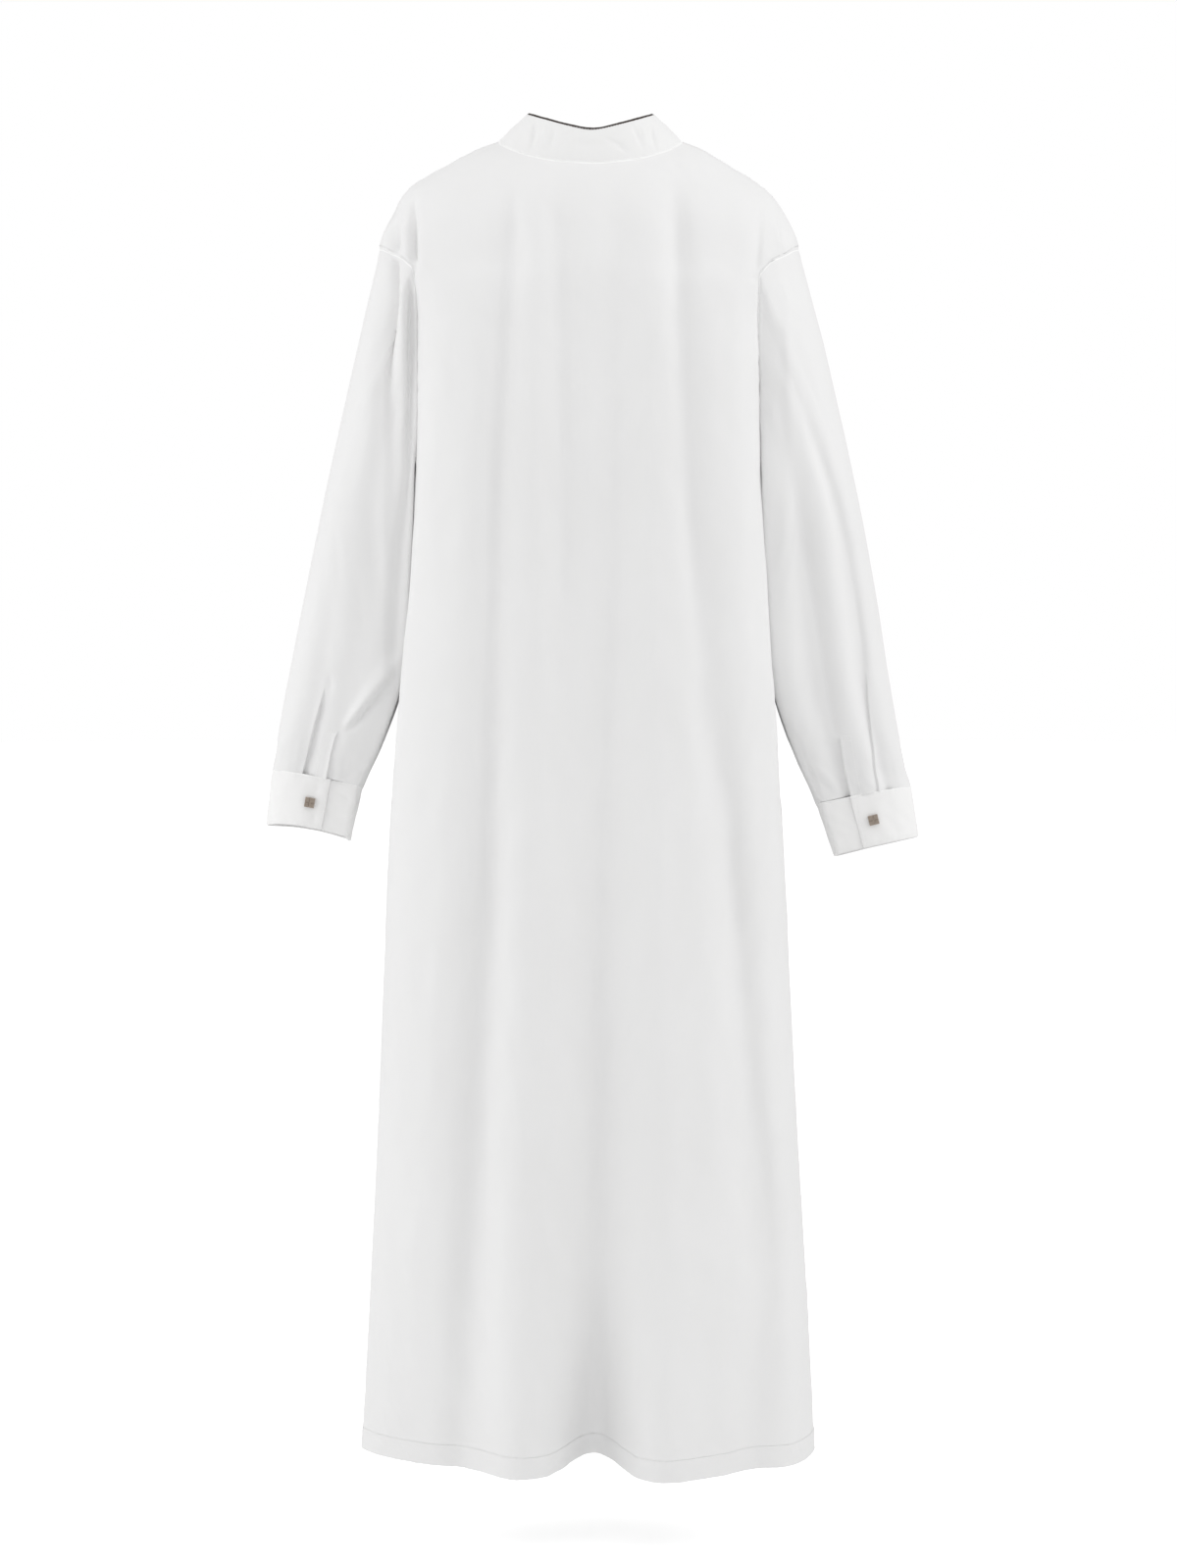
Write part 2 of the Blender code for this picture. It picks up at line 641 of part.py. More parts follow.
def build_cuff(side, top, end, mirror):
    start = CUFF_LAP_EDGE - CUFF_LAP
    turns = np.linspace(0, 360 + CUFF_LAP, CUFF_COLUMNS + 1)
    height = np.linalg.norm(
        sleeve_ring_point(top, 0, mirror) - sleeve_ring_point(end, 0, mirror)
    )
    gap = SEAM_GAP / height
    points, normals = [], []
    for row in range(CUFF_ROWS + 1):
        share = gap + (1 - gap) * row / CUFF_ROWS
        for turned in turns:
            angle = math.radians(start + turned)
            point, out = cuff_point(top, end, share, angle, cuff_lift(turned), mirror)
            points.append(point)
            normals.append(out)
    quads = grid_quads(CUFF_ROWS + 1, CUFF_COLUMNS + 1, flip=mirror > 0)
    cuff = shell(f"cuff_{side}", np.array(points), quads, BAND_WALL, CLOTH, np.array(normals))
    stud_turn = 360 + CUFF_LAP - STUD_SETBACK
    angle, lift = math.radians(start + stud_turn), cuff_lift(stud_turn)
    centre, out = cuff_point(top, end, 0.52, angle, lift, mirror)
    down = cuff_point(top, end, 0.7, angle, lift, mirror)[0] - centre
    along = cuff_point(top, end, 0.52, angle + 0.05, lift, mirror)[0] - centre
    straight = np.cross(along, down)
    straight *= np.sign(straight.dot(out))
    build_stud(
        side, cuff, centre, straight / np.linalg.norm(straight), down / np.linalg.norm(down)
    )


def oriented(points, centre, out, down):
    across = np.cross(out, down)
    frame = np.stack([across, -down, out])
    return np.array(points) @ frame + centre


def cylinder(radius, low, high, sides):
    ring = [
        (radius * math.cos(2 * math.pi * i / sides), radius * math.sin(2 * math.pi * i / sides))
        for i in range(sides)
    ]
    points = [(x, y, low) for x, y in ring] + [(x, y, high) for x, y in ring]
    faces = [tuple(reversed(range(sides))), tuple(range(sides, 2 * sides))]
    faces += [(i, (i + 1) % sides, sides + (i + 1) % sides, sides + i) for i in range(sides)]
    return points, faces


def box(low, high):
    (x0, y0, z0), (x1, y1, z1) = low, high
    points = [
        (x0, y0, z0), (x1, y0, z0), (x1, y1, z0), (x0, y1, z0),
        (x0, y0, z1), (x1, y0, z1), (x1, y1, z1), (x0, y1, z1),
    ]
    faces = [(0, 3, 2, 1), (4, 5, 6, 7), (0, 1, 5, 4), (1, 2, 6, 5), (2, 3, 7, 6), (3, 0, 4, 7)]
    return points, faces


def helper(name, shape, centre, out, down):
    """A closed mesh that only cuts or joins, hidden from renders."""
    points, faces = shape
    made = add_object(name, oriented(points, centre, out, down), faces, STUD)
    made.hide_render = True
    made.display_type = "WIRE"
    return made


def boolean(target, other, operation):
    modifier = target.modifiers.new(other.name, "BOOLEAN")
    modifier.operation = operation
    modifier.solver = "EXACT"
    modifier.object = other


def build_stud(side, cuff, centre, out, down):
    """A square stud of four raised blocks, its post through both layers of the cuff to a round plate."""
    head_low = 0.7
    plate_high = -CUFF_LIFT - BAND_WALL - 0.9
    half = STUD_SIDE / 2
    block_low = head_low + STUD_HEIGHT * 0.45
    head_high = head_low + STUD_HEIGHT
    points, faces = box((-half, -half, head_low), (half, half, head_high))
    head = add_object(f"stud_{side}", oriented(points, centre, out, down), faces, STUD)
    reach = half + 1
    for name, low, high in (
        ("across", (-reach, -STUD_GROOVE / 2, block_low), (reach, STUD_GROOVE / 2, head_high + 1)),
        ("along", (-STUD_GROOVE / 2, -reach, block_low), (STUD_GROOVE / 2, reach, head_high + 1)),
    ):
        groove = helper(f"groove_{name}_{side}", box(low, high), centre, out, down)
        boolean(head, groove, "DIFFERENCE")
    post = cylinder(POST_RADIUS, plate_high - PLATE_HEIGHT / 2, head_low + 0.6, 20)
    boolean(head, helper(f"post_{side}", post, centre, out, down), "UNION")
    plate = cylinder(PLATE_RADIUS, plate_high - PLATE_HEIGHT, plate_high, 28)
    boolean(head, helper(f"plate_{side}", plate, centre, out, down), "UNION")
    hole = cylinder(HOLE_RADIUS, plate_high - 3, head_low + 3, 20)
    boolean(cuff, helper(f"hole_{side}", hole, centre, out, down), "DIFFERENCE")


def build_collar(grids):
    """A standing band on the neck seam; its left end laps over its right end in the middle of the front."""
    back, front = grids[True][0], grids[False][0]
    middle = PANEL_COLUMNS // 2
    # From the middle of the front along the wearer's right, over the back, and along the left.
    neck = np.concatenate([front[middle:-1], back[::-1], front[1 : middle + 1]])
    around = len(neck)
    lap = np.array([front[middle + k] for k in range(1, COLLAR_LAP + 1)])
    neck = np.concatenate([neck, lap])
    seam_ring, top_ring = BODY[0], COLLAR_TOP
    columns = []
    for k, low in enumerate(neck):
        c = (low[0] - seam_ring.centre_x) / seam_ring.side_x
        depth = seam_ring.back_y if low[1] >= 0 else seam_ring.front_y
        angle = math.atan2(low[1] / depth, c)
        high = ring_point(top_ring, angle, COLLAR_SWEEP)
        lean = high - low
        start = low + lean / np.linalg.norm(lean) * SEAM_GAP
        shares = [i / COLLAR_ROWS for i in range(COLLAR_ROWS + 1)]
        bow = np.array([c, low[1] / depth, 0]) * COLLAR_BOW
        columns.append([start + (high - start) * t + bow * math.sin(math.pi * t) for t in shares])
    points = np.array(columns).transpose(1, 0, 2)
    rows, count = points.shape[:2]
    quads = grid_quads(rows, count)
    normals = normals_of(points.reshape(-1, 3), quads).reshape(points.shape)
    if normals[0, around // 2, 1] < 0:
        quads = grid_quads(rows, count, flip=True)
        normals = -normals
    for k in range(count):
        share = np.clip((k - (around - 1 - 3)) / 3, 0, 1)
        points[:, k] += normals[:, k] * (BAND_WALL + 0.5) * share
    shell("collar", points.reshape(-1, 3), quads, BAND_WALL, CLOTH)


def main():
    for made in list(bpy.data.objects):
        bpy.data.objects.remove(made, do_unlink=True)
    grids, quads, normals = body_panels()
    build_sleeve("left", grids, normals, LEFT_SLEEVE, LEFT_SLEEVE_FOLDS, 1)
    build_sleeve("right", grids, normals, RIGHT_SLEEVE, RIGHT_SLEEVE_FOLDS, -1)
    build_panels(grids, quads, normals)
    build_collar(grids)
    build_cuff("left", LEFT_SLEEVE[-1], LEFT_CUFF_END, 1)
    build_cuff("right", RIGHT_SLEEVE[-1], RIGHT_CUFF_END, -1)


main()
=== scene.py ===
"""Looks of a long white robe, shown as it is worn, built round its fixed frame.

Frame: the origin lies midway between the two points where the shoulders meet the neck.
+X is the wearer's left, +Y the wearer's back, +Z up. Tables are in millimetres, meshes in metres.
"""

import sys
import logging
import math
from dataclasses import dataclass, field
from enum import Enum
from typing import NamedTuple, Sequence

import bpy
import numpy as np
from mathutils import Matrix, Vector


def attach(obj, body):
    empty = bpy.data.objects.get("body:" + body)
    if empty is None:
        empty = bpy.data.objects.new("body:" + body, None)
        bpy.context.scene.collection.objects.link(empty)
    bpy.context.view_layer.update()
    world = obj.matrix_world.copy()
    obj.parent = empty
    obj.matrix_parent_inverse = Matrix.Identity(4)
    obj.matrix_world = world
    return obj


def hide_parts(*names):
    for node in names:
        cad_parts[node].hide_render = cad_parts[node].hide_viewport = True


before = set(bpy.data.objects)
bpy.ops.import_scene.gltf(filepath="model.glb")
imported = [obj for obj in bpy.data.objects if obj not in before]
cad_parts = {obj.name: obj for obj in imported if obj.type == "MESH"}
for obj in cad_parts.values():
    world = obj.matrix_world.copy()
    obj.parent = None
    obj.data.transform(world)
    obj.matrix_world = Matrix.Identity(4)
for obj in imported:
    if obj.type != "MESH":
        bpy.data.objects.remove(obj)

Array = np.ndarray
Material, Object, Socket = bpy.types.Material, bpy.types.Object, bpy.types.NodeSocket

log = logging.getLogger("robe")

MM = 0.001


# -------- cut of the robe


class Choice(Enum):
    """A named option whose text is its name in small letters."""

    def __str__(self) -> str:
        """The option's name in small letters."""
        return self.name.lower()


class Side(Choice):
    """Which panel of the body a thing belongs to."""

    BACK = 1
    FRONT = -1


class Hand(Choice):
    """Which of the wearer's arms a thing belongs to."""

    LEFT = 1
    RIGHT = -1


class BodyRing(NamedTuple):
    """One level round the body. Half width and depths are taken from centre_x and the XZ plane."""

    name: str
    centre_x: float
    side_x: float
    side_z: float
    back_y: float
    back_z: float
    front_y: float
    front_z: float
    side_square: float  # 1 is an ellipse, less is boxier, more is pointed
    right_square: float  # the same for the wearer's right half
    back_square: float
    corner: float  # how far the fold beside the arm stands out


BODY = (
    BodyRing("neck", -2, 98, -5, 72, -38.5, 60, -82, 1, 1, 1, 0),
    BodyRing("yoke", -1, 122, -14.5, 86, -52, 77, -104, 0.98, 0.98, 0.98, 0),
    BodyRing("shoulder", 1, 152.5, -32, 99, -70, 93, -128, 0.94, 0.94, 0.93, 0),
    BodyRing("tip", 2, 186.5, -53, 108, -92, 103, -152, 0.9, 0.9, 0.86, 0),
    BodyRing("drop", 0, 206, -77, 114, -116, 109, -172, 0.9, 0.9, 0.8, 0),
    BodyRing("armhole", -0.5, 223.5, -121, 119, -145, 114, -188, 0.94, 0.94, 0.76, 0),
    BodyRing("corner", 0, 200, -150, 121, -170, 116, -205, 0.58, 0.58, 0.69, 0),
    BodyRing("blade", 0, 187, -190, 122, -207, 118, -228, 0.42, 0.42, 0.63, 0),
    BodyRing("chest", 0, 184, -250, 123, -260, 119, -272, 0.36, 0.36, 0.58, 0),
    BodyRing("underarm", 0, 184, -345, 122, -349, 118, -351, 0.36, 0.36, 0.56, 1),
    BodyRing("waist", 0, 186, -483, 118, -483, 116, -483, 0.38, 0.38, 0.57, 7),
    BodyRing("wrist", 2, 199, -617, 117, -617, 115, -617, 0.44, 0.44, 0.61, 6),
    BodyRing("hip", 2.5, 208, -720, 118, -720, 117, -720, 0.56, 0.56, 0.69, 2),
    BodyRing("thigh", 2, 217, -905, 118, -905, 119, -905, 0.72, 0.66, 0.82, 0),
    BodyRing("knee", 1.5, 224.5, -1080, 116, -1080, 118, -1080, 0.9, 0.72, 0.96, 0),
    BodyRing("calf", 1, 234, -1262, 112, -1264, 116, -1264, 1.12, 0.64, 1.12, 0),
    BodyRing("hem", 1, 241.5, -1402, 108, -1407, 113, -1408, 1.34, 0.48, 1.22, 0),
)
COLLAR_TOP = BodyRing("top", -2, 67, 24.5, 60, -1.5, 50, -43, 1, 1, 1, 0)
NECK_SWEEP = 1.3  # how late a ring drops from its side to its middle
COLLAR_SWEEP = 2.8  # the same for the collar's top edge
CORNER_ANGLE = math.radians(24)  # where the side folds of the panels stand out
CORNER_SPREAD = math.radians(13)

# A panel is counted in steps of its cut: 32 across, and 32 down from the neck to the hem.
STEPS_ACROSS = 32
ARMHOLE_TOP, UNDERARM, HEM_STEP = 8, 17, 32
STEPS_DOWN = (0, ARMHOLE_TOP, UNDERARM, HEM_STEP)
RINGS_DOWN = (0, 5, 9, 16)  # the rings of BODY at those steps
ARMHOLE_STEPS = 4  # that an armhole takes from each side of a panel

FOLD_LEVELS = (-60, -400, -800, -1200, -1430)


class Fold(NamedTuple):
    """A long soft fold. x and out hold one number for each of FOLD_LEVELS; out is negative for a trough."""

    name: str
    x: tuple
    out: tuple
    width: tuple  # at the first and at the last level


BACK_FOLDS = (
    Fold("left_trough", (77, 97, 104, 121, 130), (-6, -8, -13, -13, -8), (17, 27)),
    Fold("left_middle", (26, 24, 24, 26, 26), (-5, -6, -1, 0, 0), (17, 24)),
    Fold("middle", (-28, -28, -15, -10, -7), (-4, -6, -12, -22, -60), (17, 37)),
    Fold("right_trough", (-91, -106, -152, -180, -176), (-6, -8, -13, -12, -9), (17, 27)),
    Fold("left_ridge", (60, 62, 62, 74, 80), (2, 3, 5, 10, 27), (20, 42)),
    Fold("right_ridge", (-60, -66, -72, -78, -79), (2, 3, 5, 10, 26), (20, 42)),
)
FRONT_FOLDS = (
    Fold("left_trough", (92, 101, 120, 140, 150), (-4, -8, -12, -15, -14), (18, 28)),
    Fold("left_middle", (38, 40, 44, 48, 46), (-2, -5, -9, -16, -24), (17, 26)),
    Fold("right_middle", (-44, -46, -52, -60, -66), (-2, -5, -10, -14, -20), (17, 26)),
    Fold("right_trough", (-90, -99, -126, -152, -160), (-4, -8, -12, -14, -12), (18, 27)),
    Fold("middle_ridge", (0, 0, -2, -4, -6), (0, 2, 5, 10, 16), (20, 38)),
    Fold("left_ridge", (70, 74, 84, 94, 98), (1, 3, 5, 8, 14), (20, 36)),
)
FOLD_MARGIN = 42  # folds fade out this far from a side edge
HEM_LIFT = 0.22  # how much of a trough's depth the hem rises by


class SleeveRing(NamedTuple):
    """One level round a left sleeve: its outer and inner points, and how it stands front to back."""

    name: str
    outer_x: float
    outer_z: float
    inner_x: float
    inner_z: float
    centre_y: float
    depth: float  # half its size along Y
    back_rise: float  # how much higher its back is than its middle
    square: float
    boxed: float = 0.0  # how much its inner corners fill out against the body


SLEEVE_RINGS = {
    Hand.LEFT: (
        SleeveRing("bicep", 277, -362, 181.4, -382, -3, 78, 2, 0.86, 1),
        SleeveRing("elbow", 302, -481, 186, -486, -8, 64, 3, 0.84, 1),
        SleeveRing("forearm", 321, -575, 193.5, -580, -13, 58, 4, 0.84, 0.9),
        SleeveRing("lower", 334, -643, 218, -650, -19, 49, 5, 0.86, 0.8),
        SleeveRing("seam", 338, -680, 242.5, -699, -21, 31, 5, 0.92, 0.7),
    ),
    Hand.RIGHT: (
        SleeveRing("bicep", 281.5, -364, 181.4, -384, -3, 78, 2, 0.86, 1),
        SleeveRing("elbow", 306, -484, 186, -488, -6, 66, 3, 0.84, 1),
        SleeveRing("forearm", 323, -586, 194, -592, -10, 60, 4, 0.84, 0.9),
        SleeveRing("lower", 337, -660, 219, -665, -17, 49, 5, 0.86, 0.8),
        SleeveRing("seam", 345, -698, 244.5, -717, -19, 31, 5, 0.92, 0.7),
    ),
}
CUFF_END = {
    Hand.LEFT: SleeveRing("end", 345, -738, 255, -754.5, -24, 31, 3, 0.92, 0.7),
    Hand.RIGHT: SleeveRing("end", 353, -750.5, 263, -771, -22, 31, 3, 0.92, 0.7),
}
SLEEVE_STEPS = 34  # round a sleeve, half of them on its back
PLEAT_ANGLE, SLIT_ANGLE = 72, 105.9  # where the pleat and the slit run, if they kept to one angle
ARMHOLE_TURN = {  # at the armholes' upper corners, in steps: further down, further in, and where that ends
    Hand.LEFT: (1.35, 1, (9.5, 11, 13.5)),
    Hand.RIGHT: (2, 1.3, (10, 12, 15.5)),
}
FLANK_DENT = 5.5  # how far the sleeves press the sides of the body in
FLANK_HOLLOW = 6.0  # how far the body presses the inner sides of the sleeves in
FLANK_LEAN = 0.07  # how much those sides lean outwards, towards the front, below the elbow


class SleeveFold(NamedTuple):
    """A fold along a sleeve. Angles run from its outer line (0) over the back (90) to its inner line (180)."""

    name: str
    angle_top: float
    angle_cuff: float
    spread: float
    out_top: float
    out_middle: float
    out_cuff: float


SLEEVE_FOLDS = {
    Hand.LEFT: (
        SleeveFold("body_side", 126, 128, 18, -1, 1, 0),
        SleeveFold("pleat", 62, 74, 12, 0, -3, -4),
        SleeveFold("slit_fold", 112, 112, 13, 0, 3, 2),
        SleeveFold("front", 250, 262, 16, -3, -7, -3),
        SleeveFold("front_inner", 212, 220, 14, -2, -5, -2),
    ),
    Hand.RIGHT: (
        SleeveFold("crown", 0, 0, 34, 3, 0, 0),
        SleeveFold("long", 72, 62, 11, -1, -6, -4),
        SleeveFold("slit_trough", 106, 106, 12, 0, -7, -3),
        SleeveFold("outer_ridge", 88, 84, 11, 0, 3, 2),
        SleeveFold("body_side", 118, 120, 19, 2, 7, 2),
        SleeveFold("front", 256, 266, 16, -3, -7, -3),
        SleeveFold("front_inner", 214, 222, 14, -2, -5, -2),
    ),
}


class Guide(NamedTuple):
    """A line along a sleeve that its cloth follows: one angle a level, 0 the armhole and 1 to 5 the rings."""

    name: str
    rest_angle: float  # where the line would run if it kept to one angle
    level: tuple
    angle: tuple


GUIDES = {
    Hand.LEFT: (
        Guide("pleat", PLEAT_ANGLE, (0, 2, 3, 4, 5), (72, 75, 77, 74, 72)),
        Guide("slit", SLIT_ANGLE, (0, 3, 4, 4.4, 5), (106, 104, 95, 96, 101)),
    ),
    Hand.RIGHT: (
        Guide("pleat", PLEAT_ANGLE, (0, 1, 1.75, 2.5, 3.6, 5), (71, 68, 54, 53, 63, 76)),
        Guide("slit", SLIT_ANGLE, (0, 1, 1.9, 2.5, 3, 3.7, 5), (106, 106, 103, 98, 95, 94, 105)),
    ),
}
SLIT_LENGTH = {Hand.LEFT: 58, Hand.RIGHT: 72.0}
# Rest angle, length and fade at its top; how high and wide the upper layer is; how deep and wide the lower one is.
LAPS = {
    Hand.LEFT: ((PLEAT_ANGLE, 108, 34, 0.8, 4, 4.4, 12), (SLIT_ANGLE, SLIT_LENGTH[Hand.LEFT], 8, 1.4, 2.6, 1.2, 6)),
    Hand.RIGHT: ((PLEAT_ANGLE, 138, 30, 0.7, 6, 2, 8), (SLIT_ANGLE, SLIT_LENGTH[Hand.RIGHT], 10, 0.8, 4, 3.8, 12)),
}

BAND_GAP = 0.04  # between a band and the cloth it is sewn to
PANEL_WALL = 1.1
BAND_WALL = 2.2
STRIP_WALL = 1.1
PLACKET_HALF = 16.0
SLEEVE_STRIP = (-9, 5)  # how far the sleeve's strip reaches to either side of the slit
EDGE_STITCH = 2.6  # how far from an edge it is sewn
HEM_TURN = 24.0  # height of the turned hem
COLLAR_BOW = 1.2
COLLAR_DIP = 10.6  # where the top edge is lowest, in the middle of the back, as seen from behind
COLLAR_RISE = 0.28  # how steeply it rises from there
COLLAR_SHIFT, COLLAR_ROUND = 3.2, 12.0  # how far to the right that place is, and how softly the edge turns there
CUFF_LAP_EDGE = 106.0  # the angle at which the upper end of a cuff lies
CUFF_LAP = 38.0
CUFF_LIFT = 2.9
CUFF_ARCH = {Hand.LEFT: 5, Hand.RIGHT: 0.5}
STUD_SETBACK = 18.0
STUD_DOWN = 0.52  # the share of the cuff's height at which the stud stands


# -------- curves and surfaces


def numbers_of(rows: Sequence[tuple]) -> Array:
    """The numbers of a table whose first column is a name."""
    return np.array([row[1:] for row in rows], float)


def hermite(t: Array, start: Array, end: Array, leave: Array, arrive: Array) -> Array:
    """A smooth way from start to end, as t runs from 0 to 1, at two given slopes.

    Args:
        t: How far along.
        start: The value at 0.
        end: The value at 1.
        leave: The slope at 0.
        arrive: The slope at 1.

    Returns:
        The value there.
    """
    square, cube = t**2, t**3
    rising = 3 * square - 2 * cube
    return (1 - rising) * start + (cube - 2 * square + t) * leave + rising * end + (cube - square) * arrive


def smooth(table: Array, at: Array) -> Array:
    """Rows of a table at places between its rows, on smooth curves through them.

    Args:
        table: The numbers, one row for each level.
        at: Places counted in rows.

    Returns:
        One row of numbers for each place.
    """
    at = np.asarray(at, float)
    low = np.clip(at.astype(int), 0, len(table) - 2)
    before, start = table[np.maximum(low - 1, 0)], table[low]
    end, after = table[low + 1], table[np.minimum(low + 2, len(table) - 1)]
    return hermite((at - low)[:, None], start, end, (end - before) / 2, (after - start) / 2)


def travelled(points: Array, axis: int = 0) -> Array:
    """How far along its line each point lies; the lines run along an axis of the array."""
    steps = np.linalg.norm(np.diff(points, axis=axis), axis=-1)
    return np.concatenate([0 * steps.take([0], axis), np.cumsum(steps, axis=axis)], axis=axis)


def placed(at: Array, places: Array, line: Array) -> Array:
    """Points at some places on a line of points that lie at known places."""
    return np.stack([np.interp(at, places, numbers) for numbers in line.T], axis=-1)


def bell(value: Array, width: float) -> Array:
    """A rounded bump: 1 at nothing, and less on both sides over a width."""
    return np.exp(-((value / width) ** 2))


def power(value: Array, exponent: Array) -> Array:
    """A value raised to an exponent with its sign kept."""
    return np.copysign(np.abs(value) ** exponent, value)


def ease(value: Array, low: float, high: float) -> Array:
    """A soft step from 0 at low to 1 at high; low may be the larger number."""
    t = np.clip((value - low) / (high - low), 0, 1)
    return t * t * (3 - 2 * t)


def unit(vectors: Array) -> Array:
    """The vectors at length one."""
    length = np.linalg.norm(vectors, axis=-1, keepdims=True)
    return vectors / np.where(length > 0, length, 1)


def ring_points(rings: Array, angles: Array, sweep: float = NECK_SWEEP) -> Array:
    """Points on rings round the body.

    Args:
        rings: The numbers of some BodyRings, one row each.
        angles: From the left side (0) over the back (90 degrees).
        sweep: How late a ring drops from its side to its middle.

    Returns:
        An array of rings by angles by three.
    """
    centre_x, side_x, side_z, back_y, back_z, front_y, front_z = (rings[:, k, None] for k in range(7))
    left, right, back, corner = (rings[:, k, None] for k in range(7, 11))
    c, s = np.cos(angles)[None], np.sin(angles)[None]
    behind = s >= 0
    turned = (angles % math.pi)[None]
    from_side = np.minimum(turned, math.pi - turned)
    stand_out = corner * bell(from_side - CORNER_ANGLE, CORNER_SPREAD)
    x = centre_x + side_x * power(c, np.where(c >= 0, left, right)) + np.copysign(stand_out, c)
    y = np.where(behind, back_y, front_y) * power(s, back)
    z = side_z + (np.where(behind, back_z, front_z) - side_z) * np.abs(s) ** sweep
    return np.stack([x, y, z + 0 * x], axis=-1)


def panel_folds(side: Side, points: Array, half_width: Array) -> Array:
    """How far the long folds move the points of a panel outwards.

    Args:
        side: Which panel.
        points: Rows by columns by three, their x taken from the middle of each row.
        half_width: Half the width of each row.

    Returns:
        One number for each point.
    """
    x, down = points[..., 0], -points[..., 2]
    levels = [-level for level in FOLD_LEVELS]
    share = np.interp(down, (levels[0], levels[-1]), (0, 1))
    total = np.zeros(x.shape)
    for fold in BACK_FOLDS if side is Side.BACK else FRONT_FOLDS:
        at, out = np.interp(down, levels, fold.x), np.interp(down, levels, fold.out)
        width = fold.width[0] + (fold.width[1] - fold.width[0]) * share
        total += out * bell(x - at, width)
    edge = np.clip((half_width[:, None] - np.abs(x)) / FOLD_MARGIN, 0, 1)
    return total * np.interp(down, (30, 110), (0, 1)) * edge * edge * (3 - 2 * edge)


def panel_points(side: Side, steps: Array, across: Array) -> Array:
    """The outer face of a body panel before its small creases.

    Args:
        side: Which panel.
        steps: The rows, in steps of the cut.
        across: The columns, in steps of the cut, one list of them for each row.

    Returns:
        Rows by columns by three, from the left edge to the right edge.
    """
    rings = smooth(numbers_of(BODY), np.interp(steps, STEPS_DOWN, RINGS_DOWN))
    dense = ring_points(rings, np.linspace(0, math.pi * side.value, 361))
    shares = across / STEPS_ACROSS
    rows = zip(shares, travelled(dense, 1), dense)
    points = np.array([placed(share * along[-1], along, line) for share, along, line in rows])
    centred = points - rings[:, :1, None] * (1, 0, 0)
    out = panel_folds(side, centred, rings[:, 1])
    points[..., 1] += side.value * out
    points[..., 2] -= HEM_LIFT * np.minimum(out, 0) * np.interp(-points[..., 2], (1250, 1400), (0, 1))
    return points


def sleeve_ring_points(rings: Array, angles: Array, hand: Hand) -> Array:
    """Points on rings round an arm.

    Args:
        rings: The numbers of some SleeveRings, one row each.
        angles: Radians from the outer line (0) over the back, rings by angles.
        hand: Which arm.

    Returns:
        Rings by angles by three.
    """
    outer_x, outer_z, inner_x, inner_z, centre_y, depth, rise, square, boxed = (rings[:, k, None] for k in range(9))
    c, s = power(np.cos(angles), square), power(np.sin(angles), square)
    boxy = (np.abs(c) ** 20 + np.abs(s) ** 20) ** -0.05
    grown = np.where(c < 0, 1 + boxed * (boxy - 1), 1)
    c, s = c * grown, s * grown
    x = (outer_x + inner_x) / 2 + c * (outer_x - inner_x) / 2
    apart = ease(inner_x, 196, 214)  # from where the sleeve hangs clear of the body
    hollow = FLANK_HOLLOW * (1 - apart) * boxed * (1 - s * s) + FLANK_LEAN * apart * depth * (1 - s)
    x = x + np.clip(-c, 0, 1) ** 2 * hollow
    z = (outer_z + inner_z) / 2 + c * (outer_z - inner_z) / 2 + s * rise
    return np.stack([hand.value * x, centre_y + s * depth, z], axis=-1)


def sleeve_ring_outs(rings: Array, angles: Array, hand: Hand) -> Array:
    """The outward directions at points of sleeve rings, each in its ring's own plane.

    Args:
        rings: The numbers of some SleeveRings.
        angles: Radians, rings by angles.
        hand: Which arm.

    Returns:
        Rings by angles by three.
    """
    points = sleeve_ring_points(rings, angles, hand)
    along = sleeve_ring_points(rings, angles + 0.02, hand) - sleeve_ring_points(rings, angles - 0.02, hand)
    outer = sleeve_ring_points(rings, 0 * angles[:, :1], hand)
    inner = sleeve_ring_points(rings, 0 * angles[:, :1] + math.pi, hand)
    forward = np.stack([0 * rings[:, 5], rings[:, 5], rings[:, 6]], axis=1)[:, None]
    out = unit(np.cross(along, np.cross(outer - inner, forward)))
    facing = np.sum(out * (points - (outer + inner) / 2), axis=-1, keepdims=True)
    return np.where(facing > 0, out, -out)


def sleeve_folds(hand: Hand, angles: Array, share: Array) -> Array:
    """How far the soft folds move the points of a sleeve outwards.

    Args:
        hand: Which arm.
        angles: Degrees, rows by columns.
        share: From the armhole (0) to the cuff (1), one for each row.

    Returns:
        One number for each point.
    """
    total = np.zeros(angles.shape)
    for fold in SLEEVE_FOLDS[hand]:
        at = np.interp(share, (0, 1), (fold.angle_top, fold.angle_cuff))[:, None]
        outs = (0, fold.out_top, fold.out_middle, fold.out_cuff)
        out = np.interp(share, (0, 0.12, 0.6, 1), outs)[:, None]
        away = (angles - at + 180) % 360 - 180
        total += out * bell(away, fold.spread)
    return total


def through(knots: list, places: Array, at: float) -> Array:
    """A line of points at a place on the smooth curves that run through several lines of points.

    Args:
        knots: The given lines, each an array of points.
        places: How far along each of them lies.
        at: The wanted place.

    Returns:
        One line of points.
    """
    i = min(max(int(np.searchsorted(places, at, side="right")) - 1, 0), len(places) - 2)
    span = places[i + 1] - places[i]
    slopes = [(knots[k + 1] - knots[k]) / (places[k + 1] - places[k]) for k in range(len(knots) - 1)]
    first = slopes[i] if i == 0 else (slopes[i - 1] + slopes[i]) / 2
    last = slopes[i] if i == len(slopes) - 1 else (slopes[i] + slopes[i + 1]) / 2
    return hermite((at - places[i]) / span, knots[i], knots[i + 1], span * first, span * last)


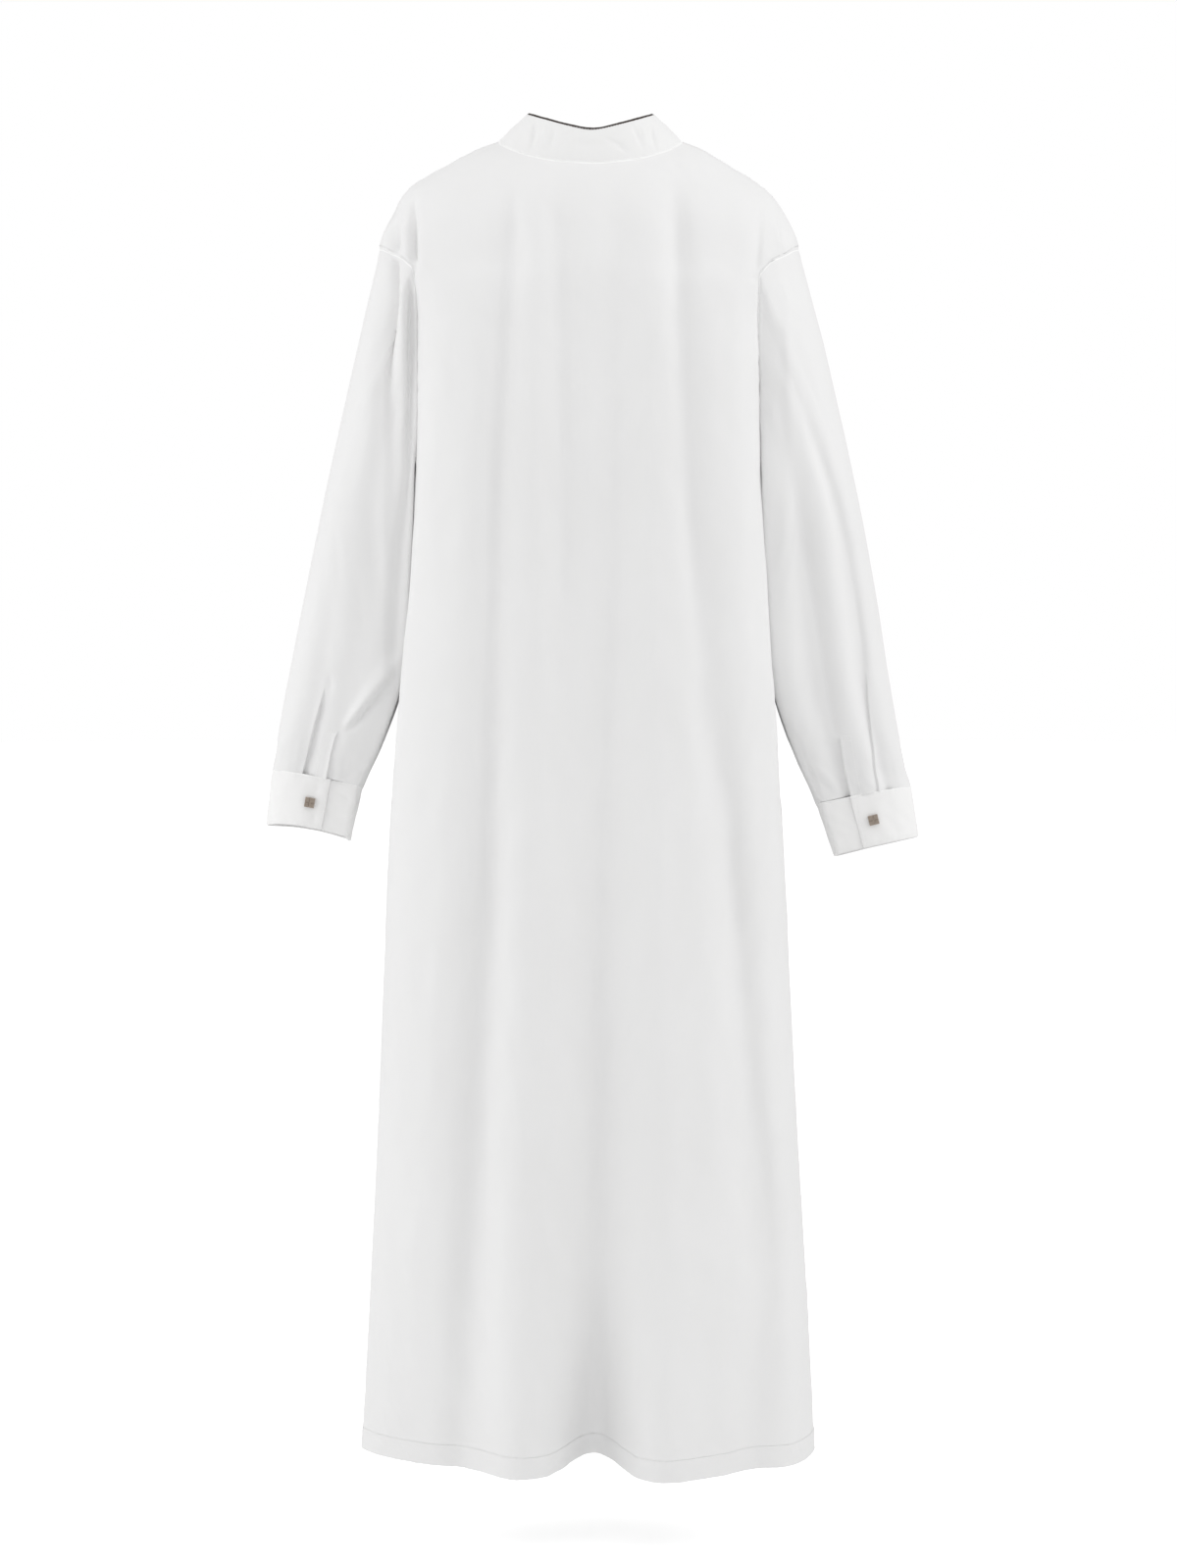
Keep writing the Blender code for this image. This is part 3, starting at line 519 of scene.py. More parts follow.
def grid_normals(points: Array, closed: bool) -> Array:
    """Unit normals of a grid of points.

    Args:
        points: Rows by columns by three; a closed grid repeats its first column as its last.
        closed: Whether the columns run round a tube.

    Returns:
        Rows by columns by three. Their sense is that of rows crossed with columns.
    """
    down = np.gradient(points, axis=0)
    if closed:
        ring = np.concatenate([points[:, -2:-1], points, points[:, 1:2]], axis=1)
        across = (ring[:, 2:] - ring[:, :-2]) / 2
    else:
        across = np.gradient(points, axis=1)
    return unit(np.cross(down, across))


def waves(points: Array, seed: int, shortest: float, longest: float, stretch: float = 2.2) -> Array:
    """Slow uneven undulations, as cloth has that has been worn.

    Args:
        points: Places in millimetres, with two columns: across and down.
        seed: Chooses one pattern of them.
        shortest: The shortest length from crest to crest.
        longest: The longest.
        stretch: How much longer the crests run down than across.

    Returns:
        One number from about -1 to 1 for each place.
    """
    chosen = np.random.default_rng(seed)
    total = np.zeros(points.shape[:-1])
    for _ in range(9):
        length = math.exp(chosen.uniform(math.log(shortest), math.log(longest)))
        lean = chosen.normal(0, 0.55)
        turn, bend = chosen.uniform(0, math.tau, 2)
        across, down = points[..., 0], points[..., 1] / stretch
        place = math.cos(lean) * across + math.sin(lean) * down
        place = place + 0.35 * length * np.sin(down * math.tau / (2.6 * length) + bend)
        total += np.sin(place * math.tau / length + turn)
    return total / 4.0


VIEW_DISTANCE = 3400.0  # from which the places of creases are told
VIEW_HEIGHT = -550.0


def as_seen(points: Array, side: Side) -> Array:
    """Where points appear on the XZ plane, seen square on from behind or from the front.

    Args:
        points: Any number of points.
        side: From where.

    Returns:
        The same number of places with two columns, x and z.
    """
    scale = VIEW_DISTANCE / (VIEW_DISTANCE - side.value * points[..., 1])
    return np.stack([points[..., 0] * scale, VIEW_HEIGHT + (points[..., 2] - VIEW_HEIGHT) * scale], axis=-1)


def creases_out(creases: dict, seen: Array) -> Array:
    """How far a table of creases moves points outwards.

    Args:
        creases: The table.
        seen: The places of the points, as as_seen gives them.

    Returns:
        One number for each point.
    """
    total = np.zeros(seen.shape[:-1])
    flat, flat_total = seen.reshape(-1, 2), total.reshape(-1)
    for lean, *places in creases.values():
        given = np.array(places, float)
        path = smooth(given, np.linspace(0, len(given) - 1, (len(given) - 1) * 6 + 1))
        reach = 3.2 * path[:, 3].max()
        low, high = path[:, :2].min(axis=0) - reach, path[:, :2].max(axis=0) + reach
        near = np.flatnonzero(((flat > low) & (flat < high)).all(axis=1))
        if not len(near):
            continue
        places = flat[near]
        best = np.full(len(near), np.inf)
        out, width, side = np.zeros(len(near)), np.ones(len(near)), np.zeros(len(near))
        for a, b in zip(path, path[1:]):
            step = b[:2] - a[:2]
            t = np.clip((places - a[:2]) @ step / max(step @ step, 1e-9), 0, 1)
            away = places - a[:2] - t[:, None] * step
            distance = np.linalg.norm(away, axis=1)
            nearer = distance < best
            best = np.where(nearer, distance, best)
            out = np.where(nearer, a[2] + t * (b[2] - a[2]), out)
            width = np.where(nearer, a[3] + t * (b[3] - a[3]), width)
            side = np.where(nearer, np.sign(away[:, 0]), side)
        width = np.maximum(width, 1) * (1 - lean * side * 0.65)
        flat_total[near] += out * bell(best, width)
    return total


# -------- creases, as seen square on

# Each is a fold or a dent: its lean, and then its places, each with x, z, how far out it stands and its width.
# A lean of 1 makes it fall off steeply on the side that has larger x, -1 on the other.

BACK_CREASES = dict(
    left_blade=(0, (80, -40, 0, 9), (82, -84, -2.4, 11), (87, -168, -2.3, 11), (99, -374, -1.6, 11),
        (104, -525, -1.2, 12), (106, -739, -2, 16), (113, -1004, -3.6, 27), (117, -1214, -4.6, 31),
        (117, -1323, -5.2, 32), (116, -1420, -6, 32)),
    left_fill=(0, (110, -150, 0, 12), (115, -260, 2, 14), (119, -400, 3, 16), (122, -600, 3.2, 17),
        (127, -800, 3.2, 19), (135, -1000, 3.4, 22), (140, -1200, 3.4, 24), (143, -1430, 3.4, 24)),
    left_spine=(0, (36, -44, 0, 10), (34, -90, -2, 13), (28, -200, -1.5, 12), (25, -336, -1.1, 9),
        (24, -483, -0.5, 9), (23, -588, 0, 9)),
    spine=(0.3, (-29, -116, 0, 9), (-29, -294, -0.8, 10), (-28, -483, -1.3, 11), (-19, -693, -1.6, 12),
        (-13, -903, -2, 13), (-10, -1147, -1.2, 13), (-13, -1300, 0, 13)),
    right_blade=(0, (-90, -40, 0, 9), (-94, -84, -2.6, 11), (-105, -298, -1.9, 11), (-111, -430, -1.4, 10),
        (-118, -588, -0.7, 9), (-120, -651, 0, 9)),
    right_hip=(-0.3, (-145, -672, 0, 9), (-155, -724, -1.3, 9), (-152, -798, -2, 10), (-160, -882, -1.8, 11),
        (-169, -966, -1.6, 12), (-180, -1050, -1.3, 12), (-188, -1134, -1, 12), (-194, -1218, -0.6, 12),
        (-200, -1302, 0, 12)),
    ridge_a=(0, (136, -252, 0, 8), (136, -378, 0.7, 9), (145, -588, 1, 10), (151, -701, 1.3, 11),
        (170, -1004, 1.5, 13), (185, -1166, 1.2, 13), (191, -1323, 0, 13)),
    ridge_b=(0, (58, -200, 0, 8), (58, -378, 0.7, 9), (50, -693, 0.9, 10), (42, -853, 1.2, 12),
        (46, -1060, 1.2, 13), (55, -1270, 0.6, 13), (57, -1365, 0, 13)),
    ridge_c=(0, (4, -294, 0, 8), (3, -378, 0.5, 8), (3, -525, 0.6, 8), (8, -651, 0, 8)),
    ridge_d=(0, (-67, -231, 0, 8), (-67, -378, 0.7, 9), (-71, -640, 1.1, 10), (-84, -1050, 1.5, 13),
        (-94, -1218, 1, 13), (-105, -1344, 0, 13)),
    ridge_e=(0, (-169, -273, 0, 7), (-169, -378, 0.6, 8), (-172, -525, 0.5, 8), (-174, -609, 0, 8)),
    right_skirt=(0, (-190, -900, 0, 20), (-196, -1050, 3, 24), (-203, -1200, 6, 26), (-206, -1320, 8, 26),
        (-206, -1425, 8, 26)),
    press_low=(0, (-160, -1231, 0, 4), (-185, -1231, -0.7, 4), (-210, -1227, 0, 4)),
    press_middle=(0, (42, -1327, 0, 5), (23, -1331, -0.8, 5), (4, -1340, 0, 5)),
    shoulder_edge_left=(0.5, (187, -62, 0, 3), (188, -79, -4, 3.2), (189, -104, -8, 3.6), (189, -132, -8, 3.8),
        (189, -152, 0, 4)),
    shoulder_roll_left=(0, (198, -78, 0, 4), (197, -104, 2.4, 5), (196, -124, 1.6, 5), (195, -136, 0, 4)),
    shoulder_dent_left=(0, (205, -72, 0, 4), (208, -94, -9, 5), (210, -114, -14, 5.5), (211, -139, -10, 6)),
    shoulder_edge_right=(-0.5, (-185, -72, 0, 4), (-184, -100, -2.2, 5), (-182, -128, -3.2, 5),
        (-181, -149, -2, 5)),
    shoulder_ridge_right=(0, (-196, -84, 0, 3), (-202, -104, 2.2, 4), (-206, -124, 1.8, 4), (-208, -142, 0, 4)),
    shoulder_dent_right=(0, (-204, -86, 0, 3), (-209, -104, -1.8, 3.5), (-212, -122, -1.2, 3.5),
        (-213, -132, 0, 3)),
    neck_left=(0, (84, -19, 0, 5), (92, -34, -0.7, 5), (105, -55, -0.5, 7), (116, -79, 0, 8)),
    neck_right=(0, (-88, -21, 0, 5), (-97, -34, -0.7, 5), (-109, -52, -0.5, 7), (-122, -78, 0, 8)),
    blade_left_small=(0, (152, -200, 0, 7), (145, -252, -0.7, 8), (141, -315, 0, 8)),
    blade_right_small=(0, (-149, -168, 0, 7), (-145, -231, -0.6, 8), (-142, -294, 0, 8)),
    drag_left=(0, (178, -168, 0, 6), (160, -215, -0.8, 8), (136, -273, -0.5, 9), (120, -315, 0, 9)),
    drag_right=(0, (-181, -168, 0, 6), (-166, -215, -0.8, 8), (-149, -268, -0.5, 9), (-134, -315, 0, 9)),
)
SLEEVE_BACK_CREASES = {
    Hand.LEFT: dict(
        beside_body=(0, (190, -146, 0, 3), (190, -190, -6, 3.5), (191, -300, -6.5, 4), (194, -378, -6, 5),
            (200, -430, -4.5, 6), (205, -483, -4.5, 7), (209, -560, -4, 7), (210, -600, 0, 6)),
        crown_slope=(0, (219, -112, -5, 8), (221, -150, -8, 9), (222, -230, -8, 10), (224, -300, -5, 11),
            (228, -420, 0, 11)),
        crown_trough=(0.2, (212, -114, -10, 5), (213, -150, -18, 6), (213, -210, -14, 7), (211, -290, -7, 8),
            (209, -380, -2, 9), (205, -430, 0, 9)),
        crown_ridge=(0, (200, -134, 0, 4), (200, -168, 2.2, 5), (200, -220, 2, 6), (199, -290, 0, 6)),
        elbow_soft=(0, (239, -346, 0, 9), (235, -399, -1, 10), (227, -462, -1.2, 9), (218, -514, 0, 8)),
        outer_soft=(0, (268, -357, 0, 9), (277, -420, -0.8, 10), (288, -483, -0.8, 10), (296, -536, 0, 9)),
        outer_ridge=(0, (250, -294, 0, 9), (260, -378, 0.9, 10), (273, -462, 0.8, 9), (284, -525, 0, 9)),
        pleat_spot=(0, (279, -571, 0, 4), (277, -585, -1.6, 4), (279, -601, 0, 4)),
        slit_fold=(-0.4, (263, -634, 0, 3), (255, -624, 3, 4), (243, -609, 4.6, 5), (227, -588, 5, 7),
            (210, -566, 4, 9), (200, -550, 0, 9)),
        slit_fold_under=(0, (259, -638, 0, 3), (250, -629, -2.6, 3), (237, -613, -3.6, 3.5), (220, -593, -3.2, 4.5),
            (206, -575, 0, 5)),
        cuff_gather_a=(0, (260, -651, 0, 4), (262, -670, -0.7, 4), (262, -685, -0.5, 3)),
        cuff_gather_b=(0, (313, -640, 0, 4), (316, -659, -0.7, 4), (318, -678, -0.5, 3)),
        cuff_gather_c=(0, (328, -635, 0, 4), (329, -655, 0.6, 4), (330, -676, 0.3, 4)),
        covered=(0, (290, -628, 0, 6), (292, -643, -0.9, 6), (293, -656, -1.1, 6), (294, -674, -0.4, 5)),
    ),
    Hand.RIGHT: dict(
        crown_ridge=(0, (-209, -151, 0, 4), (-211, -176, 1.6, 5), (-214, -252, 1.5, 6), (-217, -333, 0.8, 7),
            (-220, -378, 0, 7)),
        long_trough=(0, (-226, -210, 0, 6), (-233, -260, -0.8, 7), (-240, -315, -2.2, 8), (-259, -374, -3.4, 8),
            (-279, -452, -3.4, 8), (-291, -530, -3, 6), (-295, -578, -1.4, 5), (-296, -600, 0, 4)),
        second_trough=(0.2, (-225, -380, 0, 7), (-231, -430, -2, 8), (-238, -471, -3, 8), (-247, -529, -3.6, 8),
            (-255, -587, -3.6, 7), (-262, -625, -2.4, 6), (-267, -645, 0, 5)),
        between_ridge=(0, (-250, -399, 0, 8), (-260, -462, 1, 9), (-271, -525, 1.2, 9), (-278, -588, 0.9, 8),
            (-284, -640, 0, 8)),
        outer_soft=(0, (-281, -315, 0, 10), (-294, -378, -0.9, 11), (-308, -452, -0.8, 10), (-317, -514, 0, 10)),
        pucker_a=(0, (-213, -149, 0, 3), (-216, -164, -0.7, 4), (-219, -181, 0, 4)),
        inner_blotch_a=(0, (-228, -649, 0, 4), (-233, -662, -1.2, 4), (-239, -674, 0, 4)),
        inner_blotch_b=(-0.3, (-231, -680, 0, 4), (-238, -682, -1, 3.5), (-253, -695, -1.4, 3.5),
            (-267, -709, 0, 3)),
        inner_blotch_c=(0, (-237, -670, 0, 4), (-248, -678, 1, 4), (-262, -693, 0.8, 4), (-269, -701, 0, 4)),
        inner_seam=(0.2, (-202, -608, 0, 2.5), (-214, -633, -1.8, 2.4), (-226, -658, -2.4, 2.4),
            (-239, -686, -2.4, 2.4), (-249, -712, -1, 2.4)),
        cuff_gather_a=(0, (-288, -662, 0, 4), (-288, -680, -0.6, 4), (-289, -699, -0.4, 3)),
        cuff_gather_b=(0, (-320, -651, 0, 4), (-324, -672, -0.7, 4), (-328, -692, -0.4, 3)),
        cuff_gather_c=(0, (-333, -647, 0, 4), (-336, -668, 0.6, 4), (-338, -687, 0.3, 3)),
    ),
}
CUFF_CREASES = {
    Hand.LEFT: dict(
        below_stud=(0, (294, -723, 0, 2.5), (294, -729, -0.7, 2.5), (295, -736, 0, 2.5)),
        above_stud=(0, (290, -691, 0, 3), (290, -699, -0.8, 4), (292, -706, 0, 3)),
        inner_a=(0, (269, -700, 0, 3), (260, -706, -0.6, 3), (252, -714, 0, 3)),
        inner_b=(0, (262, -712, 0, 3), (254, -716, -0.5, 3), (246, -720, 0, 3)),
        outer_soft=(0, (319, -693, 0, 6), (322, -712, -0.5, 7), (326, -733, 0, 6)),
    ),
    Hand.RIGHT: dict(
        lap_soft=(0, (-281, -720, 0, 4), (-284, -737, 0.4, 4), (-286, -754, 0, 4)),
        inner_a=(0, (-254, -722, 0, 3), (-259, -733, -0.6, 4), (-262, -746, 0, 4)),
        outer_a=(0, (-320, -706, 0, 5), (-324, -724, -0.5, 6), (-330, -743, 0, 6)),
        outer_b=(0, (-308, -712, 0, 4), (-310, -724, 0.4, 5), (-314, -740, 0, 4)),
    ),
}
COLLAR_CREASES = dict(
    left_end=(0, (56, 22, 0, 2.5), (58, 8, -2.1, 2.5), (60, -6, -1.8, 2.5), (66, -20, 0, 2.5)),
    left_end_b=(0, (46, 16, 0, 2.5), (47, 2, 1.3, 3), (46, -13, 0, 3)),
    left_end_c=(0, (38, 13, 0, 2.5), (38, 0, -1.4, 2.6), (41, -14, 0, 3)),
    left_low=(0, (84, -12, 0, 2.5), (66, -22, -1, 3), (52, -24, 0, 3)),
    right_diagonal=(0, (-14, 1, 0, 3), (-32, -8, -1.4, 3), (-44, -19, 0, 3)),
    middle_sag=(0, (22, -4, 0, 4), (0, -9, -1, 5), (-26, -4, 0, 4)),
    right_end=(0, (-66, 17, 0, 2.2), (-68, 4, -1.9, 2.2), (-72, -12, -0.6, 2.5)),
    right_end_b=(0, (-56, 16, 0, 2.2), (-60, 2, 1.3, 2.4), (-64, -14, 0, 3)),
    right_end_c=(0, (-46, 15, 0, 2.5), (-52, 2, -1.3, 2.5), (-58, -14, 0, 3)),
)

FRONT_CREASES = dict(
    left_chest=(0, (84, -70, 0, 9), (94, -300, -0.9, 9), (112, -600, -1.6, 11), (134, -1000, -1.7, 13),
        (146, -1330, 0, 14)),
    left_middle=(0, (38, -160, 0, 8), (42, -420, -0.9, 9), (46, -760, -1.5, 12), (48, -1340, -1.6, 14)),
    right_middle=(0, (-45, -200, 0, 8), (-50, -460, -1.1, 9), (-58, -800, -1.6, 12), (-66, -1350, -1.3, 14)),
    right_chest=(0, (-92, -80, 0, 9), (-102, -340, -1, 9), (-128, -680, -1.5, 11), (-154, -1080, -1.5, 13),
        (-160, -1320, 0, 13)),
    ridge_left=(0, (64, -260, 0, 8), (72, -500, 0.8, 9), (86, -900, 1.2, 12), (96, -1380, 0.6, 13)),
    ridge_right=(0, (-70, -300, 0, 8), (-84, -620, 0.9, 9), (-104, -1000, 1.3, 12), (-118, -1390, 0.5, 13)),
    drag_left=(0, (160, -170, 0, 6), (140, -215, -0.9, 8), (118, -270, -0.5, 9), (100, -320, 0, 9)),
    drag_right=(0, (-158, -180, 0, 6), (-142, -222, -0.8, 8), (-122, -280, -0.5, 9), (-108, -330, 0, 9)),
    slit_left=(0, (20, -150, 0, 5), (23, -260, -0.6, 6), (22, -360, 0, 6)),
    slit_right=(0, (-20, -170, 0, 5), (-24, -290, -0.6, 6), (-22, -380, 0, 6)),
    slit_foot=(0, (3, -424, 0, 5), (4, -455, -1, 7), (6, -520, 0, 9)),
    shoulder_left=(0, (186, -70, 0, 4), (188, -100, -1.6, 5), (189, -150, -1.2, 5), (190, -170, 0, 5)),
    shoulder_right=(0, (-188, -72, 0, 4), (-190, -104, -1.7, 5), (-187, -152, -1.2, 5), (-186, -175, 0, 5)),
    press=(0, (-30, -1180, 0, 5), (0, -1184, -0.6, 5), (34, -1181, 0, 5)),
)
SLEEVE_FRONT_CREASES = {
    Hand.LEFT: dict(
        crown=(0, (214, -130, 0, 5), (216, -200, -1.9, 6), (222, -290, -1.4, 8), (230, -360, 0, 8)),
        long=(0, (246, -220, 0, 8), (262, -360, -1.2, 9), (280, -500, -1.4, 9), (296, -610, -0.9, 7),
            (304, -676, -0.3, 5)),
        ridge=(0, (232, -300, 0, 8), (250, -440, 1, 9), (268, -560, 1, 9), (280, -650, 0, 7)),
        elbow=(0, (220, -420, 0, 7), (240, -450, -0.9, 8), (262, -470, 0, 8)),
        gather_a=(0, (286, -630, 0, 4), (290, -655, -0.8, 4), (292, -682, -0.3, 4)),
        gather_b=(0, (314, -620, 0, 4), (320, -648, -0.7, 4), (324, -674, -0.3, 4)),
    ),
    Hand.RIGHT: dict(
        crown=(0, (-216, -136, 0, 5), (-218, -214, -1.8, 6), (-226, -300, -1.3, 8), (-232, -370, 0, 8)),
        long=(0, (-250, -230, 0, 8), (-268, -380, -1.3, 9), (-286, -520, -1.3, 9), (-304, -630, -0.8, 7),
            (-312, -694, -0.3, 5)),
        ridge=(0, (-236, -320, 0, 8), (-254, -450, 1, 9), (-272, -580, 0.9, 9), (-284, -660, 0, 7)),
        elbow=(0, (-222, -440, 0, 7), (-242, -466, -0.9, 8), (-266, -488, 0, 8)),
        gather_a=(0, (-290, -650, 0, 4), (-296, -674, -0.8, 4), (-298, -700, -0.3, 4)),
        gather_b=(0, (-320, -640, 0, 4), (-326, -664, -0.7, 4), (-331, -692, -0.3, 4)),
    ),
}


# -------- cloth


@dataclass
class Sheet:
    """One cut piece of cloth: a grid of points on its outer face, in millimetres, and what it takes to build it."""

    name: str
    points: Array  # rows by columns by three
    normals: Array  # outward, of the same shape
    wall: Array  # its thickness at each point
    flat: Array  # where each point lies in the flat cut, across and down
    closed: bool  # whether it is a tube, whose last column repeats its first
    cells: Array  # which cells of the grid are cloth
    rim: Array  # how far a cut edge rounds out at each point, or nothing where it is sewn to a neighbour

    @classmethod
    def of(cls, name: str, points: Array, outward: Array, wall: float, closed: bool = False) -> "Sheet":
        """A sheet on a grid of points.

        Args:
            name: Its name.
            points: The grid.
            outward: Rough outward directions, by which the normals take their sense.
            wall: Its thickness.
            closed: Whether it is a tube.

        Returns:
            The sheet, its flat places measured along its rows and columns.
        """
        normals = grid_normals(points, closed)
        if np.sum(normals * outward) < 0:
            normals = -normals
        across, down = travelled(points, 1), travelled(points)
        across -= across[:, -1:] / 2
        if closed:
            down[:, -1] = down[:, 0]
        flat = np.stack([across, down], axis=-1)
        cells = np.ones((points.shape[0] - 1, points.shape[1] - 1), bool)
        sides = points.shape[:2]
        return cls(name, points, normals, np.full(sides, wall), flat, closed, cells, np.full(sides, 0.45))

    def push(self, out: Array) -> None:
        """Moves the points along their normals, and takes the normals anew."""
        if self.closed:
            out = out.copy()
            out[:, -1] = out[:, 0]
        before = self.normals
        self.points = self.points + out[..., None] * before
        fresh = grid_normals(self.points, self.closed)
        self.normals = fresh if np.sum(fresh * before) > 0 else -fresh

    def up(self) -> Array:
        """How far each point lies above the lower edge, along the cloth."""
        return self.flat[-1:, :, 1] - self.flat[..., 1]

    def row_at(self, height: float, column: int) -> float:
        """The place, counted in rows, at a height above the lower edge in one column."""
        up = self.up()[:, column]
        return float(np.interp(-height, -up, np.arange(len(up))))

    def beside(self, row: int, column: int, offsets: Sequence[float]) -> Array:
        """The places, counted in columns, at some distances across from one column in a row."""
        line = self.flat[row, :, 0] - self.flat[row, column, 0]
        return np.interp(offsets, line, np.arange(len(line)))

    def at(self, rows: Array, columns: Array) -> tuple:
        """Points and normals between the points of the grid.

        Args:
            rows: Places counted in rows.
            columns: Places counted in columns.

        Returns:
            The points and the unit normals there.
        """
        rows = np.clip(np.asarray(rows, float), 0, self.points.shape[0] - 1)
        columns = np.clip(np.asarray(columns, float), 0, self.points.shape[1] - 1)
        i = np.minimum(rows.astype(int), self.points.shape[0] - 2)
        j = np.minimum(columns.astype(int), self.points.shape[1] - 2)
        t, s = (rows - i)[..., None], (columns - j)[..., None]
        found = []
        for grid in (self.points, self.normals):
            upper = (1 - s) * grid[i, j] + s * grid[i, j + 1]
            lower = (1 - s) * grid[i + 1, j] + s * grid[i + 1, j + 1]
            found.append((1 - t) * upper + t * lower)
        return found[0], unit(found[1])

    def mesh(self) -> tuple:
        """The closed shell round the sheet: outer face, inner face and rounded rims.

        Returns:
            Points, four-sided faces and, for each face corner, its flat place in metres.
        """
        rows, columns = self.points.shape[:2]
        places = np.arange(rows * columns).reshape(rows, columns)
        if self.closed:
            places[:, -1] = places[:, 0]
        i, j = np.nonzero(self.cells)
        around = ((i, j), (i, j + 1), (i + 1, j + 1), (i + 1, j))
        corners, flats = (np.stack([grid[at] for at in around], axis=1) for grid in (places, self.flat))
        used, corners = np.unique(corners, return_inverse=True)
        corners = corners.reshape(-1, 4)
        outer, normals = self.points.reshape(-1, 3)[used], self.normals.reshape(-1, 3)[used]
        wall, count = self.wall.reshape(-1)[used], len(used)
        a, b, c = outer[corners[:, 0]], outer[corners[:, 1]], outer[corners[:, 3]]
        if np.sum(np.cross(b - a, c - a) * normals[corners[:, 0]]) < 0:
            corners, flats = corners[:, ::-1], flats[:, ::-1]
        inner = outer - wall[:, None] * normals
        starts, ends = corners.reshape(-1), np.roll(corners, -1, axis=1).reshape(-1)
        free = ~np.isin(starts * count + ends, ends * count + starts)
        begin, end = starts[free], ends[free]
        flat_begin = flats.reshape(-1, 2)[free]
        flat_end = np.roll(flats, -1, axis=1).reshape(-1, 2)[free]
        out = np.zeros((count, 3))
        side = unit(np.cross(outer[end] - outer[begin], normals[begin]))
        np.add.at(out, begin, side)
        np.add.at(out, end, side)
        edge = np.unique(begin)
        middle = np.full(count, -1)
        middle[edge] = 2 * count + np.arange(len(edge))
        round_out = self.rim.reshape(-1)[used][edge]
        rim = (outer[edge] + inner[edge]) / 2 + unit(out[edge]) * round_out[:, None]
        points = np.concatenate([outer, inner, rim])
        upper = np.stack([end, begin, middle[begin], middle[end]], axis=1)
        lower = np.stack([middle[end], middle[begin], begin + count, end + count], axis=1)
        rim_flat = np.stack([flat_end, flat_begin, flat_begin, flat_end], axis=1)
        faces = np.concatenate([corners, corners[:, ::-1] + count, upper, lower])
        flat = np.concatenate([flats, flats[:, ::-1], rim_flat, rim_flat])
        return points, faces, flat * MM

    def build(self) -> Object:
        """Makes the sheet's object, shaded smooth but for the lines where its rims begin."""
        points, faces, flat = self.mesh()
        made = new_object(f"{self.name}_cloth", points, faces, flat)
        ends = np.empty(len(made.data.edges) * 2, np.int32)
        made.data.edges.foreach_get("vertices", ends)
        sides = np.stack([faces, np.roll(faces, -1, axis=1)], axis=-1)
        marked, sides = (np.sort(pairs, axis=-1) @ (len(points), 1) for pairs in (ends.reshape(-1, 2), sides))
        outer = int(faces[: int(self.cells.sum())].max()) + 1
        of_rim = (faces >= 2 * outer).any(axis=1)
        borders = np.intersect1d(sides[of_rim], sides[~of_rim])
        sharp = made.data.attributes.new("sharp_edge", "BOOLEAN", "EDGE")
        sharp.data.foreach_set("value", np.isin(marked, borders))
        return made


def linked(name: str, data: bpy.types.ID) -> Object:
    """A new object that holds some data, in the scene."""
    made = bpy.data.objects.new(name, data)
    bpy.context.scene.collection.objects.link(made)
    return made


def new_object(name: str, points: Array, faces: Array, flat: Array = None) -> Object:
    """An object from a mesh of faces that all have the same number of corners.

    Args:
        name: Its name.
        points: In millimetres.
        faces: One row for each face.
        flat: The UV place of each face corner, or nothing.

    Returns:
        The object, shaded smooth and linked to the scene.
    """
    mesh = bpy.data.meshes.new(name)
    mesh.vertices.add(len(points))
    mesh.vertices.foreach_set("co", (np.asarray(points) * MM).astype(np.float32).reshape(-1))
    corners = faces.shape[1]
    mesh.loops.add(faces.size)
    mesh.loops.foreach_set("vertex_index", faces.astype(np.int32).reshape(-1))
    mesh.polygons.add(len(faces))
    mesh.polygons.foreach_set("loop_start", (np.arange(len(faces)) * corners).astype(np.int32))
    mesh.polygons.foreach_set("use_smooth", np.ones(len(faces), bool))
    mesh.update(calc_edges=True)
    if flat is not None:
        layer = mesh.uv_layers.new(name="flat")
        layer.data.foreach_set("uv", flat.astype(np.float32).reshape(-1))
    mesh.validate()
    return linked(name, mesh)


def shaping() -> Object:
    """Enters edit mode on the primitive just added, with all of it selected."""
    bpy.ops.object.mode_set(mode="EDIT")
    bpy.ops.mesh.select_all(action="SELECT")
    return bpy.context.active_object


